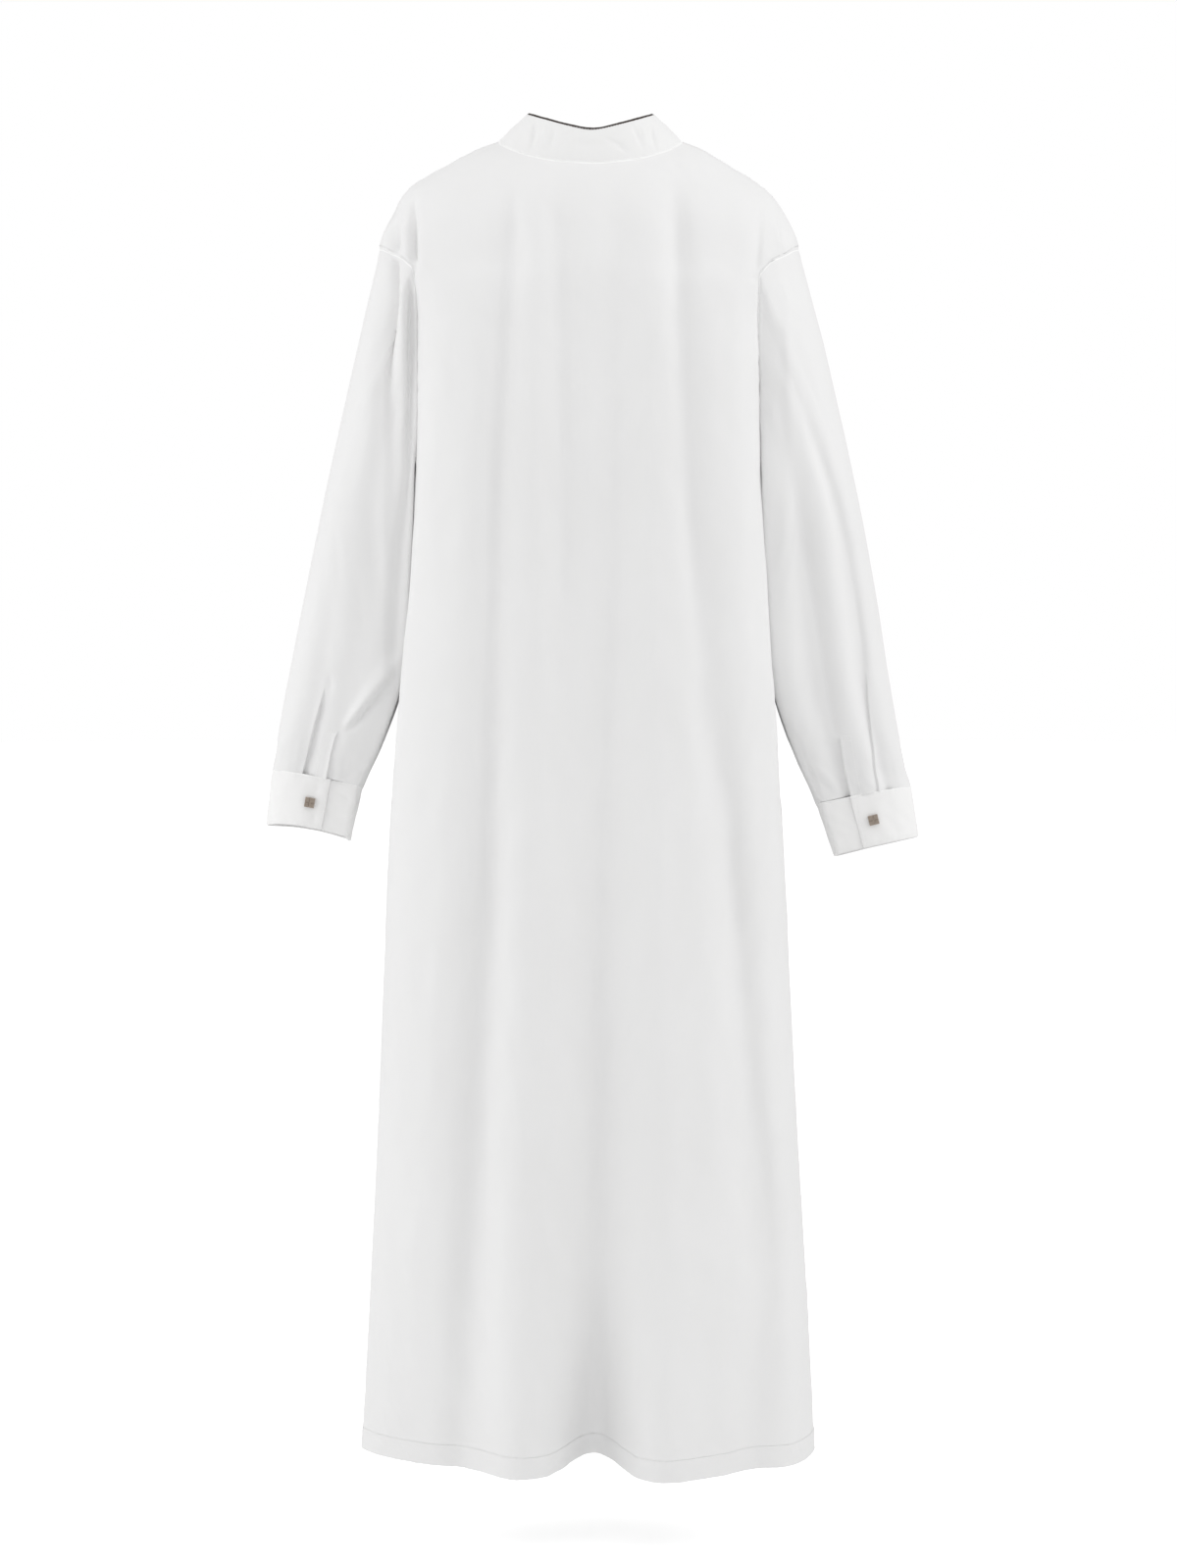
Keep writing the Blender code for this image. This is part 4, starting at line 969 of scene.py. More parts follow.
@dataclass
class Stitching:
    """Rows of stitches on a sheet, all copied from one that is modelled."""

    name: str
    length: float = 2.3
    width: float = 0.5
    pitch: float = 3.1
    proud: float = 0.12
    places: list = field(default_factory=list)

    def along(self, sheet: Sheet, rows: Sequence[float], columns: Sequence[float]) -> None:
        """Adds a row of stitches at an even pitch along a line on a sheet.

        Args:
            sheet: The cloth.
            rows: The line's places, counted in rows.
            columns: The same, counted in columns.
        """
        spread = np.linspace(0, len(rows) - 1, max(len(rows) * 6, 60))
        line, outs = sheet.at(*(np.interp(spread, range(len(places)), places) for places in (rows, columns)))
        along = travelled(line)
        count = max(int(along[-1] / self.pitch), 1)
        wanted = (np.arange(count) + 0.5) * along[-1] / count
        ahead = placed(wanted + 0.5, along, line) - placed(wanted - 0.5, along, line)
        self.places.append((placed(wanted, along, line), unit(placed(wanted, along, outs)), unit(ahead)))

    def one(self) -> tuple:
        """Models one stitch: a short thread that dips into the cloth at both ends.

        Returns:
            Its points in millimetres and its faces.
        """
        bpy.ops.object.select_all(action="DESELECT")
        bpy.ops.mesh.primitive_cylinder_add(vertices=6, radius=0.5, depth=1.0, end_fill_type="NGON")
        stitch = shaping()
        bpy.ops.transform.rotate(value=math.pi / 2, orient_axis="Y", center_override=(0, 0, 0))
        bpy.ops.transform.resize(value=(self.length * 0.66, self.width, self.width * 0.8))
        bpy.ops.mesh.select_all(action="DESELECT")
        bpy.ops.object.mode_set(mode="OBJECT")
        for polygon in stitch.data.polygons:
            polygon.select = len(polygon.vertices) == 6
        bpy.ops.object.mode_set(mode="EDIT")
        bpy.ops.mesh.select_mode(type="FACE")
        bpy.ops.mesh.extrude_faces_move(TRANSFORM_OT_shrink_fatten={"value": 0.0})
        bpy.ops.transform.resize(value=(1.5, 0.5, 0.5), center_override=(0, 0, 0))
        bpy.ops.transform.translate(value=(0, 0, -self.width * 0.35))
        bpy.ops.object.mode_set(mode="OBJECT")
        mesh = stitch.data
        mesh.calc_loop_triangles()
        points = np.array([vertex.co[:] for vertex in mesh.vertices])
        faces = np.array([triangle.vertices[:] for triangle in mesh.loop_triangles])
        bpy.data.objects.remove(stitch, do_unlink=True)
        bpy.data.meshes.remove(mesh)
        return points, faces

    def build(self) -> Object:
        """Copies the stitch to every place and joins the copies into one object."""
        shape, faces = self.one()
        points, outs, ways = (np.concatenate(parts) for parts in zip(*self.places))
        across = np.cross(outs, ways)
        frames = np.stack([ways, across, outs], axis=1)
        centres = points + outs * (self.proud - self.width * 0.25)
        copies = np.einsum("sk,nkd->nsd", shape, frames) + centres[:, None]
        every = faces[None] + (np.arange(len(centres)) * len(shape))[:, None, None]
        return new_object(self.name, copies.reshape(-1, 3), every.reshape(-1, 3))


# -------- the robe's pieces


@dataclass
class Body:
    """The back and the front, sewn at the shoulders and the sides, with the neck slit's strip."""

    edge_columns: int = 26  # from a side edge to the armhole's line
    middle_columns: int = 100  # from there to the other armhole's line
    neck_rows: int = 48
    armhole_rows: int = 72
    skirt_rows: int = 142
    hem_rows: int = 22
    hem_start: float = 31.5  # in steps of the cut
    sheets: dict = field(default_factory=dict)  # the two panels, by side

    def __post_init__(self) -> None:
        """Lays out the rows."""
        levels = (*STEPS_DOWN[:-1], self.hem_start)
        counts = (self.neck_rows, self.armhole_rows, self.skirt_rows)
        parts = [np.linspace(*ends, count, endpoint=False) for *ends, count in zip(levels, levels[1:], counts)]
        self.steps = np.concatenate([*parts, np.linspace(self.hem_start, HEM_STEP, self.hem_rows + 1)])
        last = STEPS_ACROSS - ARMHOLE_STEPS
        self.across = crowded(
            ((0, ARMHOLE_STEPS, self.edge_columns), (ARMHOLE_STEPS, last, self.middle_columns),
             (last, STEPS_ACROSS, self.edge_columns)),
            ((ARMHOLE_STEPS, 0.5, 2.4), (last, 0.5, 2.4)),
        )
        self.columns = len(self.across) - 1

    def row(self, steps: float) -> float:
        """The grid row at a number of steps of the cut."""
        return np.interp(steps, self.steps, np.arange(len(self.steps)))

    def column(self, steps: float) -> float:
        """The grid column at a number of steps of the cut."""
        return np.interp(steps, self.across, np.arange(self.columns + 1))

    def seams(self) -> list:
        """The lines, as rows and columns, along which a panel is sewn to its neighbours."""
        edge, last = self.column(ARMHOLE_STEPS), self.columns
        top, low, bottom = self.row(ARMHOLE_TOP), self.row(UNDERARM), len(self.steps) - 1
        lines = []
        for flip in (False, True):
            for rows, columns in (
                ((0, top), (0, 0)),
                ((top, top, low, low), (0, edge, edge, 0)),
                ((low, bottom), (0, 0)),
            ):
                lines.append((rows, [last - c for c in columns] if flip else list(columns)))
        return lines

    def build_panel(self, side: Side) -> Sheet:
        """Shapes one panel.

        Args:
            side: Which one.

        Returns:
            Its sheet, folded, creased and puckered, its edges left where the seams run.
        """
        points = self.place_cells(side)
        outward = np.zeros(points.shape)
        outward[..., 1] = side.value
        sheet = Sheet.of(str(side), points, outward, PANEL_WALL)
        rows, columns = np.indices(sheet.cells.shape)
        edge = self.column(ARMHOLE_STEPS)
        arm = (rows >= round(self.row(ARMHOLE_TOP))) & (rows < round(self.row(UNDERARM)))
        sheet.cells &= ~(arm & ((columns < edge) | (columns >= self.columns - edge)))
        away, place, seam = self.from_seams(sheet)
        creases = BACK_CREASES if side is Side.BACK else FRONT_CREASES
        out = creases_out(creases, as_seen(points, side)) * ease(away, 0, 9)
        seed = 11 if side is Side.BACK else 12
        flat = sheet.flat
        out += 0.55 * waves(flat, seed, 26, 120, 3.0) * ease(away, 2, 26) * ease(flat[..., 1], 60, 420)
        out += 0.30 * waves(flat, seed + 20, 18, 60, 1.4) * ease(away, 2, 20)
        out += seam_relief(away, place + 400 * seam, seed)
        up = sheet.up()
        out += hem_relief(up, flat[..., 0], seed)
        out += self.pocket_mouths(points, flat) + self.flank_dent(points)
        if side is Side.FRONT:
            under_strip = flat[..., 1] < 330
            out -= 0.5 * under_strip * ease(np.abs(flat[..., 0]), 26, 15)
        sheet.push(out)
        sheet.wall[up < HEM_TURN] *= 2
        sheet.rim[:-1] = 0
        self.sheets[side] = sheet
        return sheet

    def place_cells(self, side: Side) -> Array:
        """Spreads the cells over a panel so that the armholes' upper corners turn where they should.

        Args:
            side: Which panel.

        Returns:
            The points of its grid.
        """
        steps, across = np.meshgrid(self.steps, self.across, indexing="ij")
        down, inward = np.zeros(steps.shape), np.zeros(steps.shape)
        share = 1.0 if side is Side.BACK else 0.4
        for hand, (drop, shift, ends) in ARMHOLE_TURN.items():
            edge = across if hand is Hand.LEFT else STEPS_ACROSS - across
            profile = np.interp(edge, (0, 2, 3.5, 4, 4.6, 9), (0, 0.06, 0.4, 1, 0.95, 0))
            down += share * drop * profile * np.interp(steps, (4.5, ARMHOLE_TOP, UNDERARM), (0, 1, 0))
            fade = np.interp(steps, (5, ARMHOLE_TOP, *ends), (0, 1, 0.85, 0.5, 0))
            inward += hand.value * share * shift * np.interp(edge, (0, 4, 13), (0, 1, 0)) * fade
        points = panel_points(side, self.steps, across + inward)
        rows = self.row(steps + down)
        i = np.minimum(rows.astype(int), len(self.steps) - 2)
        t = (rows - i)[..., None]
        column = np.arange(points.shape[1])[None]
        return points[i, column] * (1 - t) + points[i + 1, column] * t

    def flank_dent(self, points: Array) -> Array:
        """How the sides give way where the sleeves lie against them."""
        edge = np.minimum(self.across, STEPS_ACROSS - self.across)[None]
        z = points[..., 2]
        return -FLANK_DENT * ease(edge, 3.8, 2.4) * ease(z, -346, -378) * ease(z, -655, -590)

    def join(self) -> None:
        """Brings the edges of the two panels together along the seams they share."""
        back, front = self.sheets[Side.BACK], self.sheets[Side.FRONT]
        sewn = (self.steps <= ARMHOLE_TOP) | (self.steps >= UNDERARM)
        for column in (0, -1):
            middle = (back.points[sewn, column] + front.points[sewn, column]) / 2
            out = unit(back.normals[sewn, column] + front.normals[sewn, column])
            for sheet in (back, front):
                sheet.points[sewn, column], sheet.normals[sewn, column] = middle, out

    def from_seams(self, sheet: Sheet) -> tuple:
        """How far each point of a panel lies from the nearest seam, how far along it, and which it is."""
        lines, along, which = [], [], []
        for number, (rows, columns) in enumerate(self.seams()):
            spread = np.linspace(0, len(rows) - 1, 60 * len(rows))
            line, _ = sheet.at(*(np.interp(spread, range(len(places)), places) for places in (rows, columns)))
            lines.append(line)
            along.append(travelled(line))
            which.append(np.full(len(line), number))
        lines, along, which = (np.concatenate(v) for v in (lines, along, which))
        away = np.full(sheet.points.shape[:2], 1e9)
        nearest = np.zeros(away.shape, int)
        for row in range(len(away)):
            near = np.flatnonzero(np.abs(lines[:, 2] - sheet.points[row, :, 2].mean()) < 120)
            if not len(near):
                continue
            gap = np.linalg.norm(sheet.points[row][:, None] - lines[near][None], axis=2)
            away[row], nearest[row] = gap.min(axis=1), near[gap.argmin(axis=1)]
        return np.minimum(away, 1000), along[nearest], which[nearest]

    def pocket_mouths(self, points: Array, flat: Array) -> Array:
        """The openings in the side seams, at hip height: how far their edges gape."""
        from_edge = np.minimum(flat[..., 0] - flat[:, :1, 0], flat[:, -1:, 0] - flat[..., 0])
        z = points[..., 2]
        mouth = ease(z, -862, -840) * ease(z, -690, -712)
        return mouth * (0.9 * bell(from_edge, 7) - 0.7 * bell(from_edge - 16, 7))

    def stitch(self, threads: Stitching) -> None:
        """Sews the hem, the shoulder seams and the armholes."""
        last, top, low = self.columns, int(self.row(ARMHOLE_TOP)), self.row(UNDERARM)
        edge = self.column(ARMHOLE_STEPS) + 1.1
        for side, sheet in self.sheets.items():
            rows = [sheet.row_at(HEM_TURN - 1.5, j) for j in range(last + 1)]
            threads.along(sheet, rows, np.arange(last + 1))
            if side is Side.BACK:
                shoulder = travelled(sheet.points[: top + 1], 1)
                near = [np.interp(5.0, line, np.arange(last + 1)) for line in shoulder]
                far = [np.interp(line[-1] - 5.0, line, np.arange(last + 1)) for line in shoulder]
                threads.along(sheet, range(top + 1), near)
                threads.along(sheet, range(top + 1), far)
            columns = np.array([1.2, edge, edge, 1.2])
            for places in (columns, last - columns):
                threads.along(sheet, (top - 1.1, top - 1.1, low + 0.6, low + 0.6), places)

    def build_placket(self) -> Sheet:
        """The strip over the neck slit, in the middle of the front.

        Returns:
            Its sheet, turned under all round.
        """
        sheet = self.sheets[Side.FRONT]
        offsets = np.linspace(-PLACKET_HALF, PLACKET_HALF, 29)
        grid_rows = np.repeat(np.linspace(self.row(0.12), self.row(UNDERARM), 130)[:, None], len(offsets), axis=1)
        columns, every = np.empty(grid_rows.shape), np.arange(self.columns + 1)
        for i, row in enumerate(grid_rows[:, 0]):
            x = sheet.at(np.full(len(every), row), every)[0][:, 0]
            columns[i] = np.interp(-(np.interp(self.columns / 2, every, x) + offsets), -x, every)
        points, normals = sheet.at(grid_rows, columns)
        strip = Sheet.of("front_placket", points + normals * (0.6 + STRIP_WALL), normals, STRIP_WALL)
        from_side = PLACKET_HALF - np.abs(offsets)[None] + 0 * grid_rows
        down = strip.flat[..., 1]
        out = 0.35 * bell(from_side - 1.2, 1.4) - 0.3 * bell(from_side - 3.4, 1.2)
        out += 0.18 * np.sin(down * math.tau / 17 + 2 * np.sin(down / 31)) * np.exp(-from_side / 6)
        out += 0.35 * waves(strip.flat, 31, 14, 50, 1.6)
        strip.push(out)
        self.strip = strip
        return strip

    def stitch_placket(self, threads: Stitching) -> None:
        """Sews the strip down along its sides, with a box and a bar at its foot."""
        strip = self.strip
        last, width = strip.points.shape[0] - 1, strip.points.shape[1] - 1
        edge = EDGE_STITCH * width / (2 * PLACKET_HALF)
        for column in (edge, width - edge):
            threads.along(strip, (1, last - 1), (column, column))
        for row in (last - 1.2, last - 11):
            threads.along(strip, (row, row), (edge, width - edge))


def seam_relief(away: Array, place: Array, seed: int, groove: float = -0.3) -> Array:
    """How cloth lies beside a seam: a fine groove, a low welt over the turnings and small puckers.

    Args:
        away: Distance from the seam.
        place: Distance along it.
        seed: Chooses one pattern of puckers.
        groove: Depth of the groove at the seam itself; a ridge if it is negative.

    Returns:
        How far out the cloth stands.
    """
    chosen = np.random.default_rng(seed)
    puckers = np.zeros(away.shape)
    for _ in range(7):
        length, turn = chosen.uniform(9, 34), chosen.uniform(0, math.tau)
        puckers += np.sin((place + 0.35 * away * chosen.uniform(-1, 1)) * math.tau / length + turn)
    strength = 0.5 + 0.5 * np.sin(place * math.tau / 173 + seed)
    puckers *= 0.13 * (0.35 + strength) * ease(away, 0, 3.5) * np.exp(-away / 11)
    welt = 0.30 * bell(away - 6, 4)
    return puckers + welt - groove * bell(away, 1.3)


def hem_relief(up: Array, across: Array, seed: int) -> Array:
    """How a turned hem stands: a little proud, drawn in at its stitches and slightly roped.

    Args:
        up: Height above the edge.
        across: Distance along it.
        seed: Chooses one pattern of draws.

    Returns:
        How far out the cloth stands.
    """
    chosen = np.random.default_rng(seed + 7)
    rope = np.zeros(up.shape)
    for _ in range(6):
        length, turn, slant = chosen.uniform(8, 30), chosen.uniform(0, math.tau), chosen.uniform(0.2, 0.9)
        rope += np.sin((across + slant * up) * math.tau / length + turn)
    within = ease(up, HEM_TURN + 3, HEM_TURN - 2)
    draws = 0.11 * rope * (within + np.exp(-np.clip(up - HEM_TURN, 0, 99) / 7) * (1 - within))
    return 0.55 * within + draws - 0.12 * bell(up - HEM_TURN + 1.5, 1.2)


def crowded(zones: Sequence[tuple], crowds: Sequence[tuple]) -> Array:
    """Places that run through several zones and lie closer together at some points.

    Args:
        zones: The start, the end and the number of cells of each zone.
        crowds: The middle, the spread and the strength of each point where cells are narrower.

    Returns:
        The places, from the start of the first zone to the end of the last.
    """
    parts = []
    for low, high, count in zones:
        at = np.linspace(low, high, 600)
        crowd = 1 + sum(strength * bell(at - k, spread) for k, spread, strength in crowds)
        reached = np.concatenate([[0], np.cumsum((crowd[1:] + crowd[:-1]) / 2)])
        parts.append(np.interp(np.linspace(0, reached[-1], count, endpoint=False), reached, at))
    return np.concatenate([*parts, [float(zones[-1][1])]])


@dataclass
class Sleeve:
    """One sleeve: a tube from its armhole to the cuff, with a pressed pleat and a lapped slit at its back."""

    hand: Hand
    body: Body
    # How far round each zone of cells reaches, in steps of the cut, and how many cells it has.
    zones: tuple = ((0, 4, 18), (4, 13, 64), (13, 17, 16), (17, 21, 10), (21, 30, 28), (30, 34, 10))
    cap_rows: int = 96
    arm_rows: int = 164

    def steps_round(self) -> Array:
        """The columns, in steps of the cut, closer together beside the pleat and the slit."""
        return crowded(self.zones, ((6.8, 0.42, 2.2), (10.0, 0.42, 2.2)))

    def column_at(self, angle: float) -> int:
        """The column whose rest angle is nearest to one."""
        return int(np.argmin(np.abs(self.steps_round() / SLEEVE_STEPS * 360 - angle)))

    def armhole(self, round_steps: Array) -> tuple:
        """The edge of the armhole.

        Args:
            round_steps: Places round it, in steps of the cut.

        Returns:
            The body's points and outward normals there.
        """
        half = SLEEVE_STEPS / 2
        is_back = round_steps <= half
        k = np.where(is_back, round_steps, SLEEVE_STEPS - round_steps)
        turns = (0, ARMHOLE_STEPS, half - ARMHOLE_STEPS, half)
        rows = np.interp(k, turns, (ARMHOLE_TOP, ARMHOLE_TOP, UNDERARM, UNDERARM))
        columns = np.interp(k, turns, (0, ARMHOLE_STEPS, ARMHOLE_STEPS, 0))
        if self.hand is Hand.RIGHT:
            columns = STEPS_ACROSS - columns
        points, normals = np.empty((len(k), 3)), np.empty((len(k), 3))
        for side, chosen in ((Side.BACK, is_back), (Side.FRONT, ~is_back)):
            row, column = self.body.row(rows[chosen]), self.body.column(columns[chosen])
            points[chosen], normals[chosen] = self.body.sheets[side].at(row, column)
        return points, normals

    def build(self) -> Sheet:
        """Shapes the sleeve.

        Returns:
            Its sheet.
        """
        rings = numbers_of(SLEEVE_RINGS[self.hand])
        even = np.linspace(0, SLEEVE_STEPS, SLEEVE_STEPS * 10 + 1)
        angles = even / SLEEVE_STEPS * math.tau
        loop, _ = self.armhole(even)
        knots = [loop, *sleeve_ring_points(rings, np.tile(angles, (len(rings), 1)), self.hand)]
        corners = [knot[:-1:10] for knot in knots]
        gaps = [np.linalg.norm(b - a, axis=1).mean() for a, b in zip(corners, corners[1:])]
        places = np.concatenate([[0], np.cumsum(gaps)])
        at = np.concatenate([
            np.linspace(0, 1, self.cap_rows, endpoint=False),
            np.linspace(1, len(rings), self.arm_rows + 1),
        ])
        share = np.interp(at, (0, 1, len(rings)), (0, 5 / 16, 1))
        rows = np.array([through(knots, places, np.interp(a, range(len(places)), places)) for a in at])
        turned = np.tile(angles, (len(at), 1))
        outs = sleeve_ring_outs(smooth(rings, np.maximum(0, at - 1)), turned, self.hand)
        fold = sleeve_folds(self.hand, np.degrees(turned), share)
        rows[1:] += (outs * fold[..., None])[1:]
        wanted = self.steps_round()
        guides = GUIDES[self.hand]
        rest = [0, *(guide.rest_angle for guide in guides), 180, 360]
        points = np.empty((len(at), len(wanted), 3))
        for i, level in enumerate(at):
            there = [0, *(np.interp(level, guide.level, guide.angle) for guide in guides), 180, 360]
            blend = min(level / 0.5, 1)
            there = [r + blend * (t - r) for r, t in zip(rest, there)]
            moved = np.interp(wanted / SLEEVE_STEPS * 360, rest, there) / 360 * SLEEVE_STEPS
            points[i] = placed(moved, even, rows[i])
        outward = points - points[:, :-1].mean(axis=1, keepdims=True)
        sheet = Sheet.of(f"sleeve_{self.hand}", points, outward, PANEL_WALL, closed=True)
        self.sheet = sheet
        self.crease()
        return sheet

    def crease(self) -> None:
        """Lays the laps, the creases, the undulations and the gathers above the cuff on the sleeve."""
        sheet, points = self.sheet, self.sheet.points
        down, up = sheet.flat[..., 1], sheet.up()
        seed = 41 if self.hand is Hand.LEFT else 43
        out = self.laps()
        for side, table in ((Side.BACK, SLEEVE_BACK_CREASES), (Side.FRONT, SLEEVE_FRONT_CREASES)):
            seen = ease(side.value * sheet.normals[..., 1], -0.05, 0.35)
            out += creases_out(table[self.hand], as_seen(points, side)) * seen * ease(down, 0, 8)
        turn = np.linspace(0, math.tau, points.shape[1])[None]
        ripple = waves(sheet.flat, seed, 24, 90, 2.4) * (1 - np.cos(turn)) / 2
        ripple += waves(sheet.flat, seed + 1, 24, 90, 2.4) * (1 + np.cos(turn)) / 2 * np.abs(np.sin(turn))
        out += 0.5 * ripple * ease(down, 0, 30) * ease(up, 0, 14)
        out += seam_relief(down, sheet.flat[:1, :, 0] + 0 * down, seed, 0.0)
        gather = np.zeros(down.shape)
        chosen = np.random.default_rng(seed + 5)
        for _ in range(7):
            length, start = chosen.uniform(9, 30), chosen.uniform(0, math.tau)
            gather += np.sin(sheet.flat[..., 0] * math.tau / length + start)
        out += 0.16 * gather * np.sin(turn / 2) ** 2 * np.exp(-up / 22) * ease(up, 0, 5)
        out += self.under_seam()
        sheet.push(out * ease(down, 0, 1.5))
        sheet.rim[:] = 0

    def laps(self) -> Array:
        """The pressed pleat and the lapped slit above the cuff: the outer side lies over the inner side."""
        across, up = self.sheet.flat[..., 0], self.sheet.up()
        out = np.zeros(across.shape)
        for rest, length, fade, over, wide, under, reach in LAPS[self.hand]:
            column = self.column_at(rest)
            away = across - across[:, column : column + 1]
            lap = np.where(away <= 1e-6, over * bell(away, wide), -under * np.exp(-np.clip(away, 0, 99) / reach))
            out += lap * ease(up, length, length - fade)
        cuff, turned = Cuff(self.hand), self.steps_round() / SLEEVE_STEPS * 360
        turned = np.where(turned <= CUFF_LAP_EDGE, turned + 360, turned) - cuff.start()
        return out + 0.9 * cuff.lift(turned)[None] * ease(up, 26, 1)

    def under_seam(self) -> Array:
        """The seam along the inner line of the sleeve, with the low welt of its turnings."""
        across = self.sheet.flat[..., 0]
        inner = self.column_at(17.6 / SLEEVE_STEPS * 360)
        away = np.abs(across - across[:, inner : inner + 1])
        return 0.3 * bell(away - 4, 3) - 0.5 * bell(away, 1.5)

    def build_placket(self) -> Sheet:
        """The narrow strip that faces the slit, inside the sleeve.

        Returns:
            Its sheet.
        """
        sheet, column = self.sheet, self.column_at(SLIT_ANGLE)
        start, end = sheet.row_at(SLIT_LENGTH[self.hand] + 7, column), len(sheet.points) - 2.0
        offsets = np.linspace(*SLEEVE_STRIP, 19)
        rows = np.repeat(np.linspace(start, end, 64)[:, None], len(offsets), axis=1)
        points, normals = np.zeros((*rows.shape, 3)), np.zeros((*rows.shape, 3))
        for nudge in (-7.0, -3.5, 0.0, 3.5, 7.0):
            columns = np.array([sheet.beside(int(row), column, offsets + nudge) for row in rows[:, 0]])
            near, out = sheet.at(rows, columns)
            points, normals = points + near / 5, normals + out
        normals = unit(normals)
        return Sheet.of(f"sleeve_placket_{self.hand}", points - normals * (PANEL_WALL + 3.4), normals, 0.9)

    def stitch(self, threads: Stitching) -> None:
        """Sews round the slit and the end of the sleeve."""
        sheet, column, length = self.sheet, self.column_at(SLIT_ANGLE), SLIT_LENGTH[self.hand]
        sides = (-12.0, -2.2)
        rows = np.linspace(sheet.row_at(length, column), len(sheet.points) - 1.8, 40)
        for side in reversed(sides):
            threads.along(sheet, rows, [sheet.beside(int(row), column, side) for row in rows])
        for bar in (1.0, 5.5):
            row = int(sheet.row_at(length - bar, column))
            threads.along(sheet, (row, row), sheet.beside(row, column, sides))
        columns = range(sheet.points.shape[1])
        threads.along(sheet, [sheet.row_at(2.0, j) for j in columns], columns)


class Band:
    """A doubled band that is turned at its edges and sewn round, as the collar and the cuffs are."""

    rows: int
    columns: int
    sheet: Sheet

    def shape(self, sheet: Sheet, creases: dict, out: Array, roll: float, ripples: tuple) -> Sheet:
        """Rolls the band's free edges in, draws it in beside its stitches and creases it.

        Args:
            sheet: The band.
            creases: Those of its back.
            out: How far its points stand out already.
            roll: How far its free edges roll in.
            ripples: The length and the start of each ripple beside the stitches.

        Returns:
            The sheet.
        """
        across, down = sheet.flat[..., 0], sheet.flat[..., 1]
        ends = np.minimum(across - across[:, :1], across[:, -1:] - across)
        free = np.minimum(sheet.up(), ends)
        inside = np.minimum(free, down) - EDGE_STITCH
        out = out - roll * bell(free, 0.9) - 0.15 * bell(inside, 1.0)
        out += creases_out(creases, as_seen(sheet.points, Side.BACK)) * ease(sheet.normals[..., 1], 0, 0.3)
        ripple = sum(np.sin(across * math.tau / length + start) for length, start in ripples)
        sheet.push(out + 0.06 * ripple * np.exp(-np.maximum(inside, 0) / 5))
        sheet.rim[:] = 0.9
        sheet.rim[0] = 0
        self.sheet = sheet
        return sheet

    def density(self) -> tuple:
        """How many rows and how many columns of cells lie on one millimetre of the band."""
        across, down = self.sheet.flat[..., 0], self.sheet.flat[..., 1]
        return self.rows / np.mean(down[-1]), self.columns / np.mean(across[:, -1] - across[:, 0])

    def stitch(self, threads: Stitching) -> None:
        """Sews round the band's edges."""
        row, column = (EDGE_STITCH * dense for dense in self.density())
        last, end = self.rows - row, self.columns - column
        for level in (row, last):
            threads.along(self.sheet, (level, level), (column, end))
        for across in (column, end):
            threads.along(self.sheet, (row, last), (across, across))


@dataclass
class Cuff(Band):
    """One cuff: a doubled band that laps over itself at the back of the wrist."""

    hand: Hand
    columns: int = 250
    rows: int = 48

    def ring(self, share: Array) -> Array:
        """The numbers of the ring at a share of the way down."""
        top = numbers_of(SLEEVE_RINGS[self.hand][-1:])[0]
        end = numbers_of((CUFF_END[self.hand],))[0]
        share = np.atleast_1d(share)[:, None]
        return (1 - share) * top + share * end

    def start(self) -> float:
        """The angle of the under end, in degrees."""
        return CUFF_LAP_EDGE - CUFF_LAP

    def lift(self, turned: Array) -> Array:
        """How far the band stands off the sleeve's line after so many degrees from its under end."""
        return CUFF_LIFT * np.clip((turned - CUFF_LAP) / (360 - 2 * CUFF_LAP), 0, 1)

    def arched(self, points: Array, angles: Array, share: Array) -> Array:
        """Lifts the cuff's end between its outer and inner lines."""
        points[..., 2] += CUFF_ARCH[self.hand] * share * np.sin(angles) ** 2
        return points

    def place(self, share: float, turned: float) -> tuple:
        """A point on the cuff before its small creases, and the way out from it."""
        ring, angle = self.ring(share), np.array([[math.radians(self.start() + turned)]])
        out = sleeve_ring_outs(ring, angle, self.hand)[0, 0]
        point = self.arched(sleeve_ring_points(ring, angle, self.hand), angle, np.array([[share]]))[0, 0]
        return point + out * float(self.lift(np.array(turned))), out

    def build(self) -> Sheet:
        """Shapes the cuff.

        Returns:
            Its sheet.
        """
        turns = np.linspace(0, 360 + CUFF_LAP, self.columns + 1)
        tall = np.linalg.norm(self.place(0, 0)[0] - self.place(1, 0)[0])
        shares = np.linspace(BAND_GAP / tall, 1, self.rows + 1)
        rings = self.ring(shares)
        angles = np.tile(np.radians(self.start() + turns), (len(shares), 1))
        outs = sleeve_ring_outs(rings, angles, self.hand)
        points = self.arched(sleeve_ring_points(rings, angles, self.hand), angles, shares[:, None])
        points += outs * self.lift(turns)[None, :, None]
        sheet = Sheet.of(f"cuff_{self.hand}", points, outs, BAND_WALL)
        sway = 0.4 * waves(sheet.flat, 61 if self.hand is Hand.LEFT else 63, 16, 60, 1.3)
        ripples = ((7.3, 0.4), (10.9, 2.0), (15.7, 4.4), (5.9, 1.1))
        return self.shape(sheet, CUFF_CREASES[self.hand], sway, 0.5, ripples)

    def stitch(self, threads: Stitching) -> None:
        """Sews round the cuff's edges and along both sides of the stud's hole."""
        super().stitch(threads)
        tall, wide = self.density()
        hole = self.columns * (360 + CUFF_LAP - STUD_SETBACK) / (360 + CUFF_LAP)
        for side in (-0.7, 0.7):
            row = STUD_DOWN * self.rows + side * tall
            threads.along(self.sheet, (row, row), (hole - 8.5 * wide, hole + 8.5 * wide))


